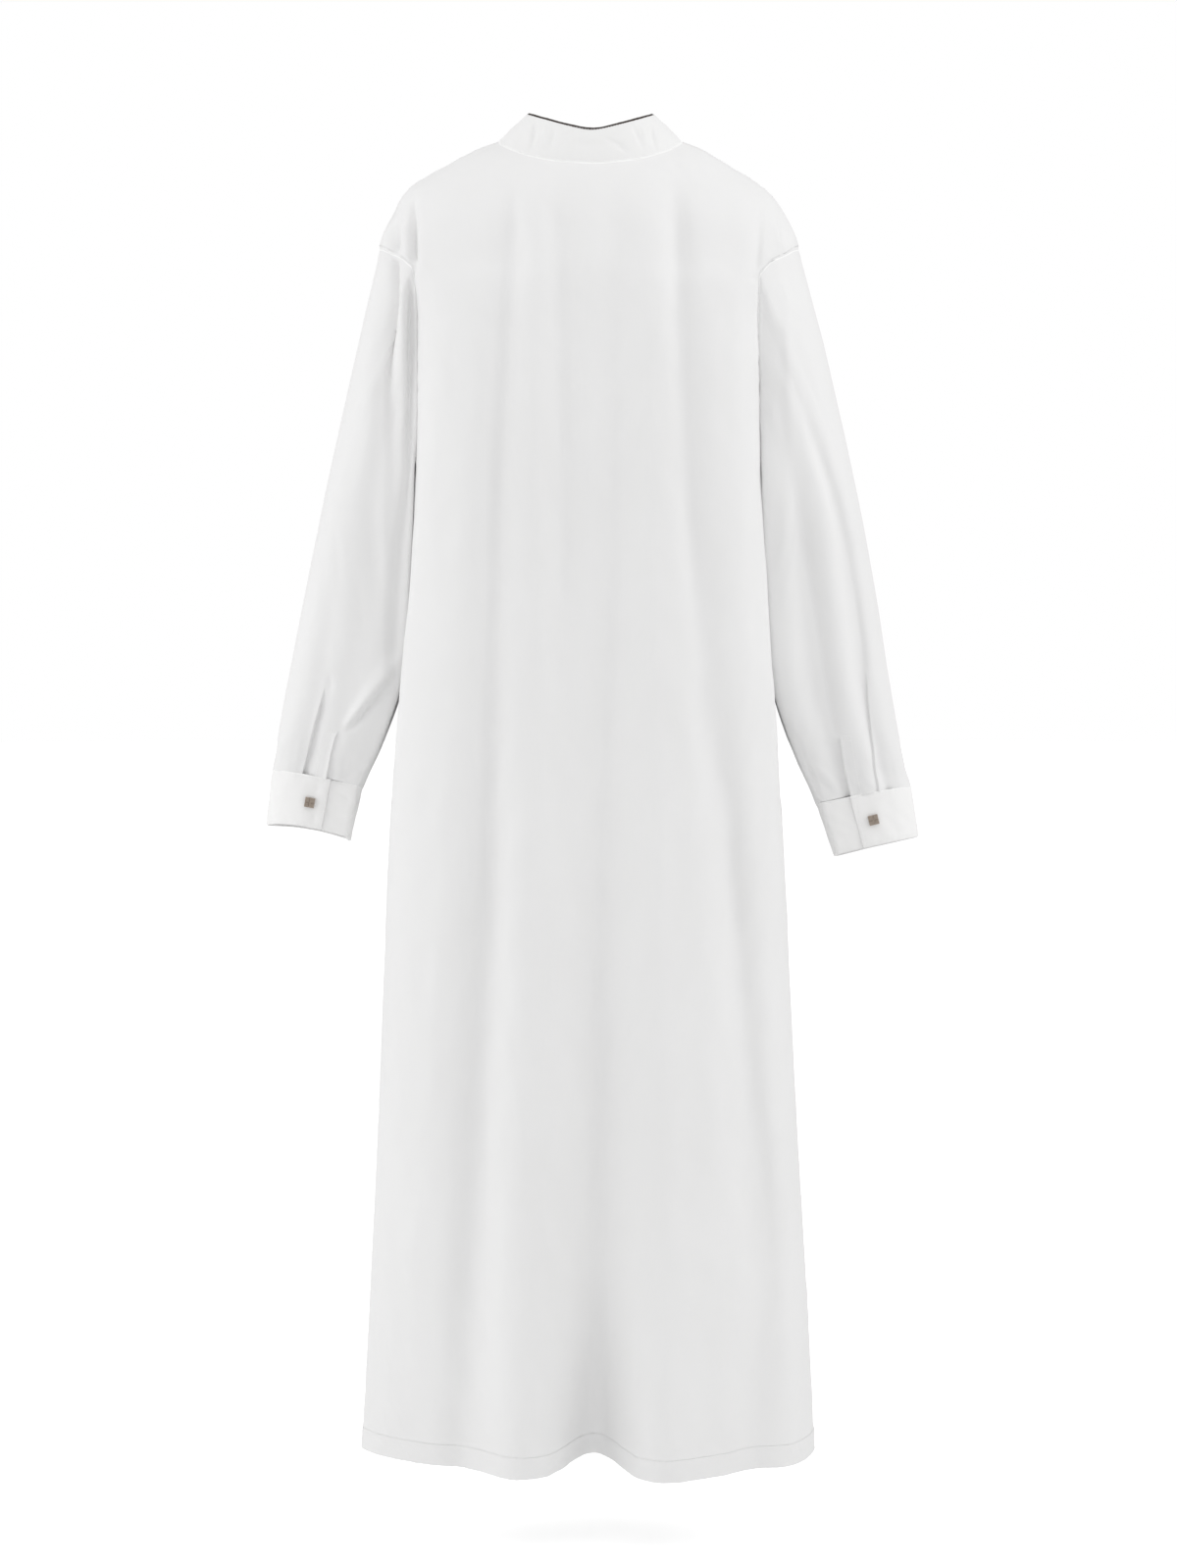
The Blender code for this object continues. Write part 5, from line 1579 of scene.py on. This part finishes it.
@dataclass
class Collar(Band):
    """The standing band round the neck; its left end laps over its right end in the middle of the front."""

    body: Body
    columns: int = 410
    rows: int = 38
    lap: float = 2.0  # steps of the cut
    bow: float = COLLAR_BOW

    def build(self) -> Sheet:
        """Shapes the collar.

        Returns:
            Its sheet.
        """
        middle = STEPS_ACROSS / 2
        steps = np.linspace(0, 2 * STEPS_ACROSS + self.lap, self.columns + 1)
        low = np.empty((len(steps), 3))
        for k, step in enumerate(steps):
            if step <= middle:
                side, at = Side.FRONT, middle + step
            elif step <= middle + STEPS_ACROSS:
                side, at = Side.BACK, middle + STEPS_ACROSS - step
            else:
                side, at = Side.FRONT, step - middle - STEPS_ACROSS
            row = self.body.sheets[side].points[0]
            column = self.body.column(at)
            low[k] = placed(column, np.arange(len(row)), row)
        ring, top = numbers_of(BODY[:1])[0], numbers_of((COLLAR_TOP,))
        depth = np.where(low[:, 1] >= 0, ring[3], ring[5])
        c, s = (low[:, 0] - ring[0]) / ring[1], low[:, 1] / depth
        high = ring_points(top, np.arctan2(s, c), COLLAR_SWEEP)[0]
        seen_z = COLLAR_DIP + COLLAR_RISE * (np.hypot(high[:, 0] + COLLAR_SHIFT, COLLAR_ROUND) - COLLAR_ROUND)
        back_z = VIEW_HEIGHT + (seen_z - VIEW_HEIGHT) * (VIEW_DISTANCE - high[:, 1]) / VIEW_DISTANCE
        high[:, 2] += (back_z - high[:, 2]) * ease(s, 0, 0.3)
        start = low + unit(high - low) * BAND_GAP
        share = np.linspace(0, 1, self.rows + 1)[:, None, None]
        bow = np.stack([c, s, 0 * c], axis=1) * self.bow
        points = start + (high - start) * share + bow * np.sin(math.pi * share)
        outward = np.stack([c, s, 0 * c], axis=1)[None] + 0 * points
        sheet = Sheet.of("collar", points, outward, BAND_WALL)
        over = np.clip((steps - steps[-1] + 3) / 3, 0, 1)  # where its left end lies over its right end
        sway = 0.35 * waves(sheet.flat, 71, 18, 70, 1.2)
        ripples = ((8.3, 0.2), (11.9, 2.6), (17.7, 4.0), (6.4, 1.7))
        return self.shape(sheet, COLLAR_CREASES, 2.9 * over + sway, 0.45, ripples)


@dataclass
class Stud:
    """A square metal stud of four raised blocks, its post and the round plate behind the cuff."""

    cuff: Cuff
    side: float = 10.6
    height: float = 2.6
    groove: float = 1.1
    head_low: float = 0.7
    post_radius: float = 1.8
    plate_radius: float = 5.0
    plate_height: float = 1.4

    def frame(self) -> tuple:
        """Where the stud stands.

        Returns:
            Its centre on the cuff's face, in millimetres, and its axes as the rows of an array.
        """
        turned = 360 + CUFF_LAP - STUD_SETBACK
        centre, out = self.cuff.place(STUD_DOWN, turned)
        down = self.cuff.place(STUD_DOWN + 0.18, turned)[0] - centre
        along = self.cuff.place(STUD_DOWN, turned + math.degrees(0.05))[0] - centre
        straight = np.cross(along, down)
        straight *= np.sign(straight @ out) / np.linalg.norm(straight)
        down /= np.linalg.norm(down)
        return centre, np.stack([np.cross(straight, down), -down, straight])

    def rounded(self, size: Sequence[float], centre: Sequence[float], bevel: float, steps: int) -> Object:
        """Sizes the form just added, moves it and rounds its edges."""
        made = shaping()
        bpy.ops.transform.resize(value=size)
        bpy.ops.transform.translate(value=centre)
        bpy.ops.mesh.bevel(offset=bevel, segments=steps, profile=0.5)
        bpy.ops.object.mode_set(mode="OBJECT")
        return made

    def block(self, size: Sequence[float], centre: Sequence[float], bevel: float, steps: int) -> Object:
        """A box with rounded edges, in millimetres.

        Args:
            size: Its three sides.
            centre: Its middle.
            bevel: The width of its rounding.
            steps: How many faces the rounding has.

        Returns:
            The object.
        """
        bpy.ops.object.select_all(action="DESELECT")
        bpy.ops.mesh.primitive_cube_add(size=1, location=(0, 0, 0))
        return self.rounded(size, centre, bevel, steps)

    def turned_piece(self, radius: float, low: float, high: float, bevel: float) -> Object:
        """A round piece about the stud's axis, its rims rounded, in millimetres."""
        bpy.ops.object.select_all(action="DESELECT")
        bpy.ops.mesh.primitive_cylinder_add(vertices=40, radius=radius, depth=high - low)
        return self.rounded((1, 1, 1), (0, 0, (low + high) / 2), bevel, 3)

    def build(self, name: str) -> Object:
        """Models the stud and sets it on its cuff.

        Args:
            name: Its name.

        Returns:
            The object.
        """
        low, high = self.head_low, self.head_low + self.height
        floor = low + 0.45 * self.height
        parts = [self.block((self.side, self.side, floor - low), (0, 0, (low + floor) / 2), 0.35, 3)]
        reach = (self.side - self.groove) / 2
        offset = self.groove / 2 + reach / 2
        for x in (-offset, offset):
            for y in (-offset, offset):
                tall = high - floor + 0.5
                parts.append(self.block((reach - 0.25, reach - 0.25, tall), (x, y, high - tall / 2), 0.5, 4))
        plate_high = -CUFF_LIFT - 2.4 - 0.9
        parts.append(self.turned_piece(self.post_radius, plate_high - 0.5, low + 0.4, 0.1))
        parts.append(self.turned_piece(self.plate_radius, plate_high - self.plate_height, plate_high, 0.35))
        bpy.ops.object.select_all(action="DESELECT")
        for part in parts:
            part.select_set(True)
        bpy.context.view_layer.objects.active = parts[0]
        bpy.ops.object.join()
        made = parts[0]
        made.name = made.data.name = name
        centre, axes = self.frame()
        place = np.eye(4)
        place[:3, :3], place[:3, 3] = axes.T * MM, centre * MM
        made.data.transform(Matrix(place.tolist()))
        bpy.ops.object.shade_smooth_by_angle(angle=math.radians(40))
        return made


# -------- finishes


@dataclass
class Nodes:
    """A node tree, of a group or of a material, written as sums."""

    tree: bpy.types.NodeTree
    material: Material = None

    @classmethod
    def of_material(cls, name: str) -> "Nodes":
        """The nodes of a new material that holds one shader."""
        material = bpy.data.materials.new(name)
        material.use_nodes = True
        return cls(material.node_tree, material)

    def feed(self, node: bpy.types.Node, inputs: dict) -> bpy.types.Node:
        """Sets inputs of a node, by name or number, to values, or links them to sockets."""
        for key, value in inputs.items():
            if isinstance(value, Socket):
                self.tree.links.new(value, node.inputs[key])
            else:
                node.inputs[key].default_value = value
        return node

    def add(self, kind: str, inputs: dict = None, **settings: object) -> bpy.types.Node:
        """Adds a node.

        Args:
            kind: Its Blender type, without the leading ShaderNode.
            inputs: Values, or sockets to link, by input name or number.
            settings: Other properties of the node.

        Returns:
            The node.
        """
        node = self.tree.nodes.new("ShaderNode" + kind)
        for key, value in settings.items():
            setattr(node, key, value)
        return self.feed(node, inputs or {})

    def sum(self, operation: str, a: object, b: object = 0.0, c: object = 0.0) -> Socket:
        """One step of arithmetic on values or sockets."""
        return self.add("Math", {0: a, 1: b, 2: c}, operation=operation).outputs[0]

    def noise(self, place: Socket, scale: float, detail: float = 2.0) -> Socket:
        """Soft noise at a place, from 0 to 1."""
        return self.add("TexNoise", {"Vector": place, "Scale": scale, "Detail": detail}).outputs["Fac"]

    def blend(self, share: Socket, low: object, high: tuple) -> Socket:
        """A colour between two, of which the first may be a socket."""
        low = low if isinstance(low, Socket) else (*low, 1)
        return self.add("Mix", {0: share, 6: low, 7: (*high, 1)}, data_type="RGBA").outputs[2]

    def ramp(self, value: Socket, none: float, full: float) -> Socket:
        """From 0 at one value to 1 at another, and level beyond them."""
        return self.add("MapRange", {0: value, 1: none, 2: full}).outputs[0]

    def bump(self, height: Socket, strength: float, distance: float) -> Socket:
        """A normal that stands for a height, in metres at most."""
        return self.add("Bump", {"Height": height, "Strength": strength, "Distance": distance}).outputs["Normal"]

    def finish(self, inputs: dict) -> Material:
        """Feeds the shader, and hands over the material."""
        self.feed(self.tree.nodes["Principled BSDF"], inputs)
        return self.material


def plain_weave() -> bpy.types.NodeTree:
    """The node group that every cloth's finish shares, built the first time it is asked for.

    Returns:
        The group: from flat and real places and the threads' turn to height, tone, slubs and the seam's line.
    """
    name = "plain_weave"
    if name in bpy.data.node_groups:
        return bpy.data.node_groups[name]
    nodes = Nodes(bpy.data.node_groups.new(name, "ShaderNodeTree"))
    for socket, kind in (("Flat", "Vector"), ("Place", "Vector"), ("Turn", "Float")):
        nodes.tree.interface.new_socket(socket, in_out="INPUT", socket_type="NodeSocket" + kind)
    for socket in ("Height", "Tone", "Slubs", "Seam"):
        nodes.tree.interface.new_socket(socket, in_out="OUTPUT", socket_type="NodeSocketFloat")
    flat, place, turn = nodes.tree.nodes.new("NodeGroupInput").outputs[:3]
    across, down, _ = nodes.add("SeparateXYZ", {0: flat}).outputs
    warp = nodes.sum("SINE", nodes.sum("MULTIPLY", across, turn))
    weft = nodes.sum("SINE", nodes.sum("MULTIPLY", down, turn))
    crossing = nodes.sum("MULTIPLY_ADD", nodes.sum("MULTIPLY", warp, weft), 0.5, 0.5)
    long_warp = nodes.add("Mapping", {"Vector": flat, "Scale": (1800.0, 42.0, 1.0)}).outputs[0]
    long_weft = nodes.add("Mapping", {"Vector": flat, "Scale": (38.0, 1500.0, 1.0)}).outputs[0]
    slubs = nodes.sum("ADD", nodes.noise(long_warp, 1.0), nodes.noise(long_weft, 1.0))
    height = nodes.sum("MULTIPLY_ADD", slubs, 0.5, crossing)
    height = nodes.sum("MULTIPLY_ADD", nodes.noise(place, 95.0, 4.0), 2.4, height)
    height = nodes.sum("MULTIPLY_ADD", nodes.noise(place, 26.0, 3.0), 5.0, height)
    tone = nodes.sum("MULTIPLY_ADD", nodes.noise(place, 9.0, 3.0), 0.6, nodes.sum("MULTIPLY", slubs, 0.2))
    # mask of the painted highlight: a narrow band along the sewn edge at the top of each piece
    seam = nodes.ramp(down, 0.0015, 0.0008)
    nodes.feed(nodes.tree.nodes.new("NodeGroupOutput"), dict(enumerate((height, tone, slubs, seam))))
    return nodes.tree


@dataclass(frozen=True)
class Poplin:
    """Fine plain-woven white cotton, washed and ironed, with a painted highlight along its sewn edges."""

    name: str
    light: tuple = (0.862, 0.862, 0.862)
    shade: tuple = (0.806, 0.803, 0.800)
    pitch: float = 0.00042  # metres from thread to thread
    relief: float = 0.00007
    strength: float = 0.35
    roughness: float = 0.86
    sheen: float = 0.12
    # painted highlight: the lighter colour along a sewn edge, standing in for light caught by the seam
    pressed: tuple = (0.94, 0.94, 0.935)  # along a sewn edge

    def edged(self, nodes: Nodes, colour: Socket, place: Socket) -> Socket:
        """The cloth's colour; a single cloth gets no painted shade at its edges."""
        return colour

    def make(self) -> Material:
        """Builds the material.

        Returns:
            The material, woven along the cloth's own flat places.
        """
        nodes = Nodes.of_material(self.name)
        flat = nodes.add("UVMap", uv_map="flat").outputs["UV"]
        place = nodes.add("TexCoord").outputs["Object"]
        inputs = {"Flat": flat, "Place": place, "Turn": math.pi / self.pitch}
        woven = nodes.add("Group", inputs, node_tree=plain_weave()).outputs
        colour = nodes.blend(woven["Tone"], self.shade, self.light)
        # the painted highlight along the sewn edge, then any painted shade at the edges
        colour = self.edged(nodes, nodes.blend(woven["Seam"], colour, self.pressed), place)
        rough = nodes.sum("MULTIPLY_ADD", woven["Slubs"], 0.06, self.roughness - 0.06)
        return nodes.finish({
            "Base Color": colour, "Roughness": rough,
            "Normal": nodes.bump(woven["Height"], self.strength, self.relief),
            "Sheen Weight": self.sheen, "Sheen Roughness": 0.45, "Specular IOR Level": 0.28,
        })


@dataclass(frozen=True)
class CollarPoplin(Poplin):
    """The same cloth doubled for the collar, with painted shade along the top edge of its back: a dark line that
    stands in for the shadowed inside of the collar.
    """

    # painted shade: the dark colour of the line that stands in for the shadowed inside of the collar, and how far
    # down from the top edge it reaches, in metres
    line: tuple = (0.030, 0.019, 0.015)
    depth: float = 0.0028

    def edged(self, nodes: Nodes, colour: Socket, place: Socket) -> Socket:
        """Paints shade on the cloth just under the top edge of the back, where the shadowed inside of the collar
        shows.

        Args:
            nodes: The material's nodes.
            colour: The cloth's colour.
            place: The place on the collar, in metres.

        Returns:
            The colour.
        """
        x, y, z = nodes.add("SeparateXYZ", {0: place}).outputs
        aside = nodes.sum("ADD", x, COLLAR_SHIFT * MM)
        spread = nodes.sum("SQRT", nodes.sum("MULTIPLY_ADD", aside, aside, (COLLAR_ROUND * MM) ** 2))
        level = nodes.sum("MULTIPLY_ADD", spread, COLLAR_RISE, (COLLAR_DIP - COLLAR_ROUND * COLLAR_RISE) * MM)
        level = nodes.sum("MULTIPLY_ADD", y, -0.165, level)
        under = nodes.sum("SUBTRACT", level, z)
        # the painted shade's mask: a band just under the top edge, only on the back
        line = nodes.ramp(under, self.depth, self.depth - 0.0005)
        behind = nodes.ramp(y, 0.006, 0.014)
        return nodes.blend(nodes.sum("MULTIPLY", line, behind), colour, self.line)


@dataclass(frozen=True)
class SewingThread:
    """White twisted thread, a little glossier than the cloth."""

    name: str
    light: tuple = (0.97, 0.97, 0.965)
    shade: tuple = (0.84, 0.84, 0.835)
    roughness: float = 0.55

    def make(self) -> Material:
        """Builds the material.

        Returns:
            The material, with the twist of its plies.
        """
        nodes = Nodes.of_material(self.name)
        place = nodes.add("TexCoord").outputs["Object"]
        inputs = {"Vector": place, "Scale": 620.0, "Distortion": 1.2}
        twist = nodes.add("TexWave", inputs, bands_direction="DIAGONAL")
        colour = nodes.blend(twist.outputs["Fac"], self.shade, self.light)
        rough = nodes.sum("MULTIPLY_ADD", nodes.noise(place, 300.0), 0.2, self.roughness - 0.1)
        bump = nodes.bump(twist.outputs["Fac"], 0.4, 0.00005)
        return nodes.finish({"Base Color": colour, "Roughness": rough, "Normal": bump, "Sheen Weight": 0.2})


@dataclass(frozen=True)
class SatinMetal:
    """Warm grey plated metal, brushed, dulled in its hollows and rubbed bright on its raised edges."""

    name: str
    bright: tuple = (0.46, 0.39, 0.33)
    dull: tuple = (0.12, 0.09, 0.07)
    roughness: float = 0.36

    def make(self) -> Material:
        """Builds the material.

        Returns:
            The material, with fine brushing and worn edges.
        """
        nodes = Nodes.of_material(self.name)
        place = nodes.add("TexCoord").outputs["Object"]
        brushed = nodes.add("Mapping", {"Vector": place, "Scale": (9000.0, 1200.0, 600.0)}).outputs[0]
        lines = nodes.noise(brushed, 1.0)
        raised = nodes.add("NewGeometry").outputs["Pointiness"]
        edges = nodes.ramp(raised, 0.44, 0.56)
        share = nodes.sum("MULTIPLY_ADD", nodes.noise(place, 700.0, 3.0), 0.35, nodes.sum("MULTIPLY", edges, 0.7))
        colour = nodes.blend(share, self.dull, self.bright)
        rough = nodes.sum("MULTIPLY_ADD", lines, 0.16, self.roughness - 0.08)
        bump = nodes.bump(lines, 0.2, 0.00003)
        return nodes.finish({"Base Color": colour, "Roughness": rough, "Normal": bump, "Metallic": 0.85})


@dataclass(frozen=True)
class PaleFloor:
    """A pale matt floor, barely mottled."""

    name: str

    def make(self) -> Material:
        """Builds the material.

        Returns:
            The material.
        """
        nodes = Nodes.of_material(self.name)
        place = nodes.add("TexCoord").outputs["Object"]
        colour = nodes.blend(nodes.noise(place, 3.0, 4.0), (0.93, 0.93, 0.93), (0.96, 0.96, 0.96))
        rough = nodes.sum("MULTIPLY_ADD", nodes.noise(place, 60.0), 0.1, 0.85)
        seen = nodes.add("LightPath").outputs["Is Camera Ray"]
        return nodes.finish({
            "Base Color": colour, "Roughness": rough, "Specular IOR Level": 0.1,
            "Emission Color": (0.6, 0.6, 0.6, 1), "Emission Strength": seen,
        })


# -------- studio


@dataclass
class Studio:
    """A pale floor, soft light and the camera."""

    floor_z: float = -1.50  # below the hem of a robe that is worn
    floor_radius: float = 30.0
    distance: float = 3.4  # from the camera to the robe's middle
    eye: float = -0.55  # height of the camera
    tall: float = 1.679  # height of the view at the robe's middle
    middle: float = -0.6925  # height of the view's middle there
    sensor: float = 36.0
    ambient: float = 0.64
    lamps: tuple = (
        ("left_bank", (2.9, 0.72, 0.00), 2.2, 27.8),
        ("right_bank", (-2.8, 1.02, 0.65), 2.2, 28.8),
        ("overhead", (0.0, 1.5, 2.3), 2.6, 21.5),
    )

    def build_floor(self) -> Object:
        """Lays the floor."""
        bpy.ops.object.select_all(action="DESELECT")
        bpy.ops.mesh.primitive_circle_add(vertices=96, radius=self.floor_radius, fill_type="NGON")
        floor = bpy.context.active_object
        floor.name = "floor"
        floor.data.transform(Matrix.Translation((0, 0, self.floor_z)))
        floor.data.materials.append(PaleFloor("pale_floor").make())
        return floor

    def light(self, name: str, place: Sequence[float], size: float, energy: float) -> None:
        """Hangs a soft square light that faces the robe.

        Args:
            name: Its name.
            place: Where it hangs.
            size: Its side.
            energy: Its power in watts.
        """
        lamp = bpy.data.lights.new(name, "AREA")
        lamp.size, lamp.energy = size, energy
        made = linked(name, lamp)
        made.location = place
        toward = Vector((0, 0, -0.6)) - Vector(place)
        made.rotation_euler = toward.to_track_quat("-Z", "Y").to_euler()

    def build_world(self) -> None:
        """A white surround that lights more softly than it looks."""
        world = bpy.data.worlds.new("studio")
        bpy.context.scene.world = world
        world.use_nodes = True
        world.node_tree.nodes.clear()
        nodes = Nodes(world.node_tree)
        lit, seen = (nodes.add("Background", {0: (1, 1, 1, 1), 1: level}).outputs[0] for level in (self.ambient, 1))
        path = nodes.add("LightPath").outputs["Is Camera Ray"]
        nodes.add("OutputWorld", {0: nodes.add("MixShader", {0: path, 1: lit, 2: seen}).outputs[0]})

    def build_camera(self) -> None:
        """Sets the camera level with the middle of the back."""
        lens = bpy.data.cameras.new("camera")
        lens.sensor_width = self.sensor
        lens.lens = self.sensor * self.distance / self.tall
        lens.shift_y = (self.middle - self.eye) / self.tall
        lens.dof.use_dof = False
        camera = linked("camera", lens)
        camera.location = (0, self.distance, self.eye)
        camera.rotation_euler = (math.pi / 2, 0, math.pi)
        bpy.context.scene.camera = camera

    def build(self) -> None:
        """Sets up the floor, the lights, the surround and the camera."""
        self.build_floor()
        for lamp in self.lamps:
            self.light(*lamp)
        self.build_world()
        self.build_camera()
        bpy.context.scene.view_settings.view_transform = "Standard"
        bpy.context.scene.view_settings.look = "None"


# -------- assembly


def settle(made: Object, look: Material, nodes: Sequence[str] = ()) -> None:
    """Dresses a finished piece, fixes it to the robe's body and sets it in place of its solid.

    Args:
        made: The piece.
        look: Its material.
        nodes: The solids it stands for.
    """
    made.data.materials.clear()
    made.data.materials.append(look)
    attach(made, "root")
    if nodes:
        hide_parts(*nodes)
    log.info("%s: %d faces", made.name, len(made.data.polygons))


def cut_of(sheet: Sheet) -> tuple:
    """How a sheet was cut.

    Args:
        sheet: The sheet.

    Returns:
        The width and the length of the flat rectangle round it and its own area, in metres.
    """
    a, b = sheet.points[:-1, :-1], sheet.points[1:, 1:]
    c, d = sheet.points[:-1, 1:], sheet.points[1:, :-1]
    cells = np.linalg.norm(np.cross(b - a, d - c), axis=2) / 2
    area = float(cells[sheet.cells].sum()) * MM * MM
    wide = float((sheet.flat[:, -1, 0] - sheet.flat[:, 0, 0]).max()) * MM
    tall = float(sheet.flat[-1, :, 1].max()) * MM
    return round(wide, 3), round(tall, 3), round(area, 4)


def main() -> None:
    """Builds the robe piece by piece, dresses it and sets up the studio."""
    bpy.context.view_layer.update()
    cloth = Poplin("cotton_poplin").make()
    # The cuffs' cloth: doubled, and its colour lightened past the single cloth as painted light, to make up for the
    # shade the cuffs fall in.
    band = Poplin("doubled_poplin", light=(0.910, 0.908, 0.905), shade=(0.862, 0.858, 0.852), strength=0.28).make()
    # The collar's cloth, with painted shade along the top edge of its back.
    edged = CollarPoplin(
        "collar_poplin", light=(0.862, 0.862, 0.860), shade=(0.818, 0.815, 0.810), strength=0.28,
        # its painted highlight along the sewn edges
        pressed=(0.905, 0.905, 0.900),
    ).make()
    thread = SewingThread("white_thread").make()
    metal = SatinMetal("satin_metal").make()

    body = Body()
    sheets = {str(side): body.build_panel(side) for side in Side}
    body.join()
    sleeves = {hand: Sleeve(hand, body) for hand in Hand}
    cuffs = {hand: Cuff(hand) for hand in Hand}
    for hand in Hand:
        sheets[f"sleeve_{hand}"] = sleeves[hand].build()
        sheets[f"sleeve_placket_{hand}"] = sleeves[hand].build_placket()
        sheets[f"cuff_{hand}"] = cuffs[hand].build()
    sheets["front_placket"] = body.build_placket()
    collar = Collar(body)
    sheets["collar"] = collar.build()

    sewing = {"body": body.stitch, "front_placket": body.stitch_placket, "collar": collar.stitch}
    for hand in Hand:
        sewing |= {f"sleeve_{hand}": sleeves[hand].stitch, f"cuff_{hand}": cuffs[hand].stitch}
    rows = {}
    for name, sew in sewing.items():
        threads = Stitching(f"stitches_{name}")
        sew(threads)
        rows[name] = threads.build()
        settle(rows[name], thread)

    bands = {"collar": edged, "cuff_left": band, "cuff_right": band}
    for name, sheet in sheets.items():
        made = sheet.build()
        settle(made, bands.get(name, cloth), (name,))
        width, length, area = cut_of(sheet)
    for hand in Hand:
        settle(Stud(cuffs[hand]).build(f"stud_{hand}_metal"), metal, (f"stud_{hand}",))

    Studio().build()


if __name__ == "__main__":
    logging.basicConfig(level=logging.INFO, format="%(name)s: %(message)s", stream=sys.stdout)
    main()
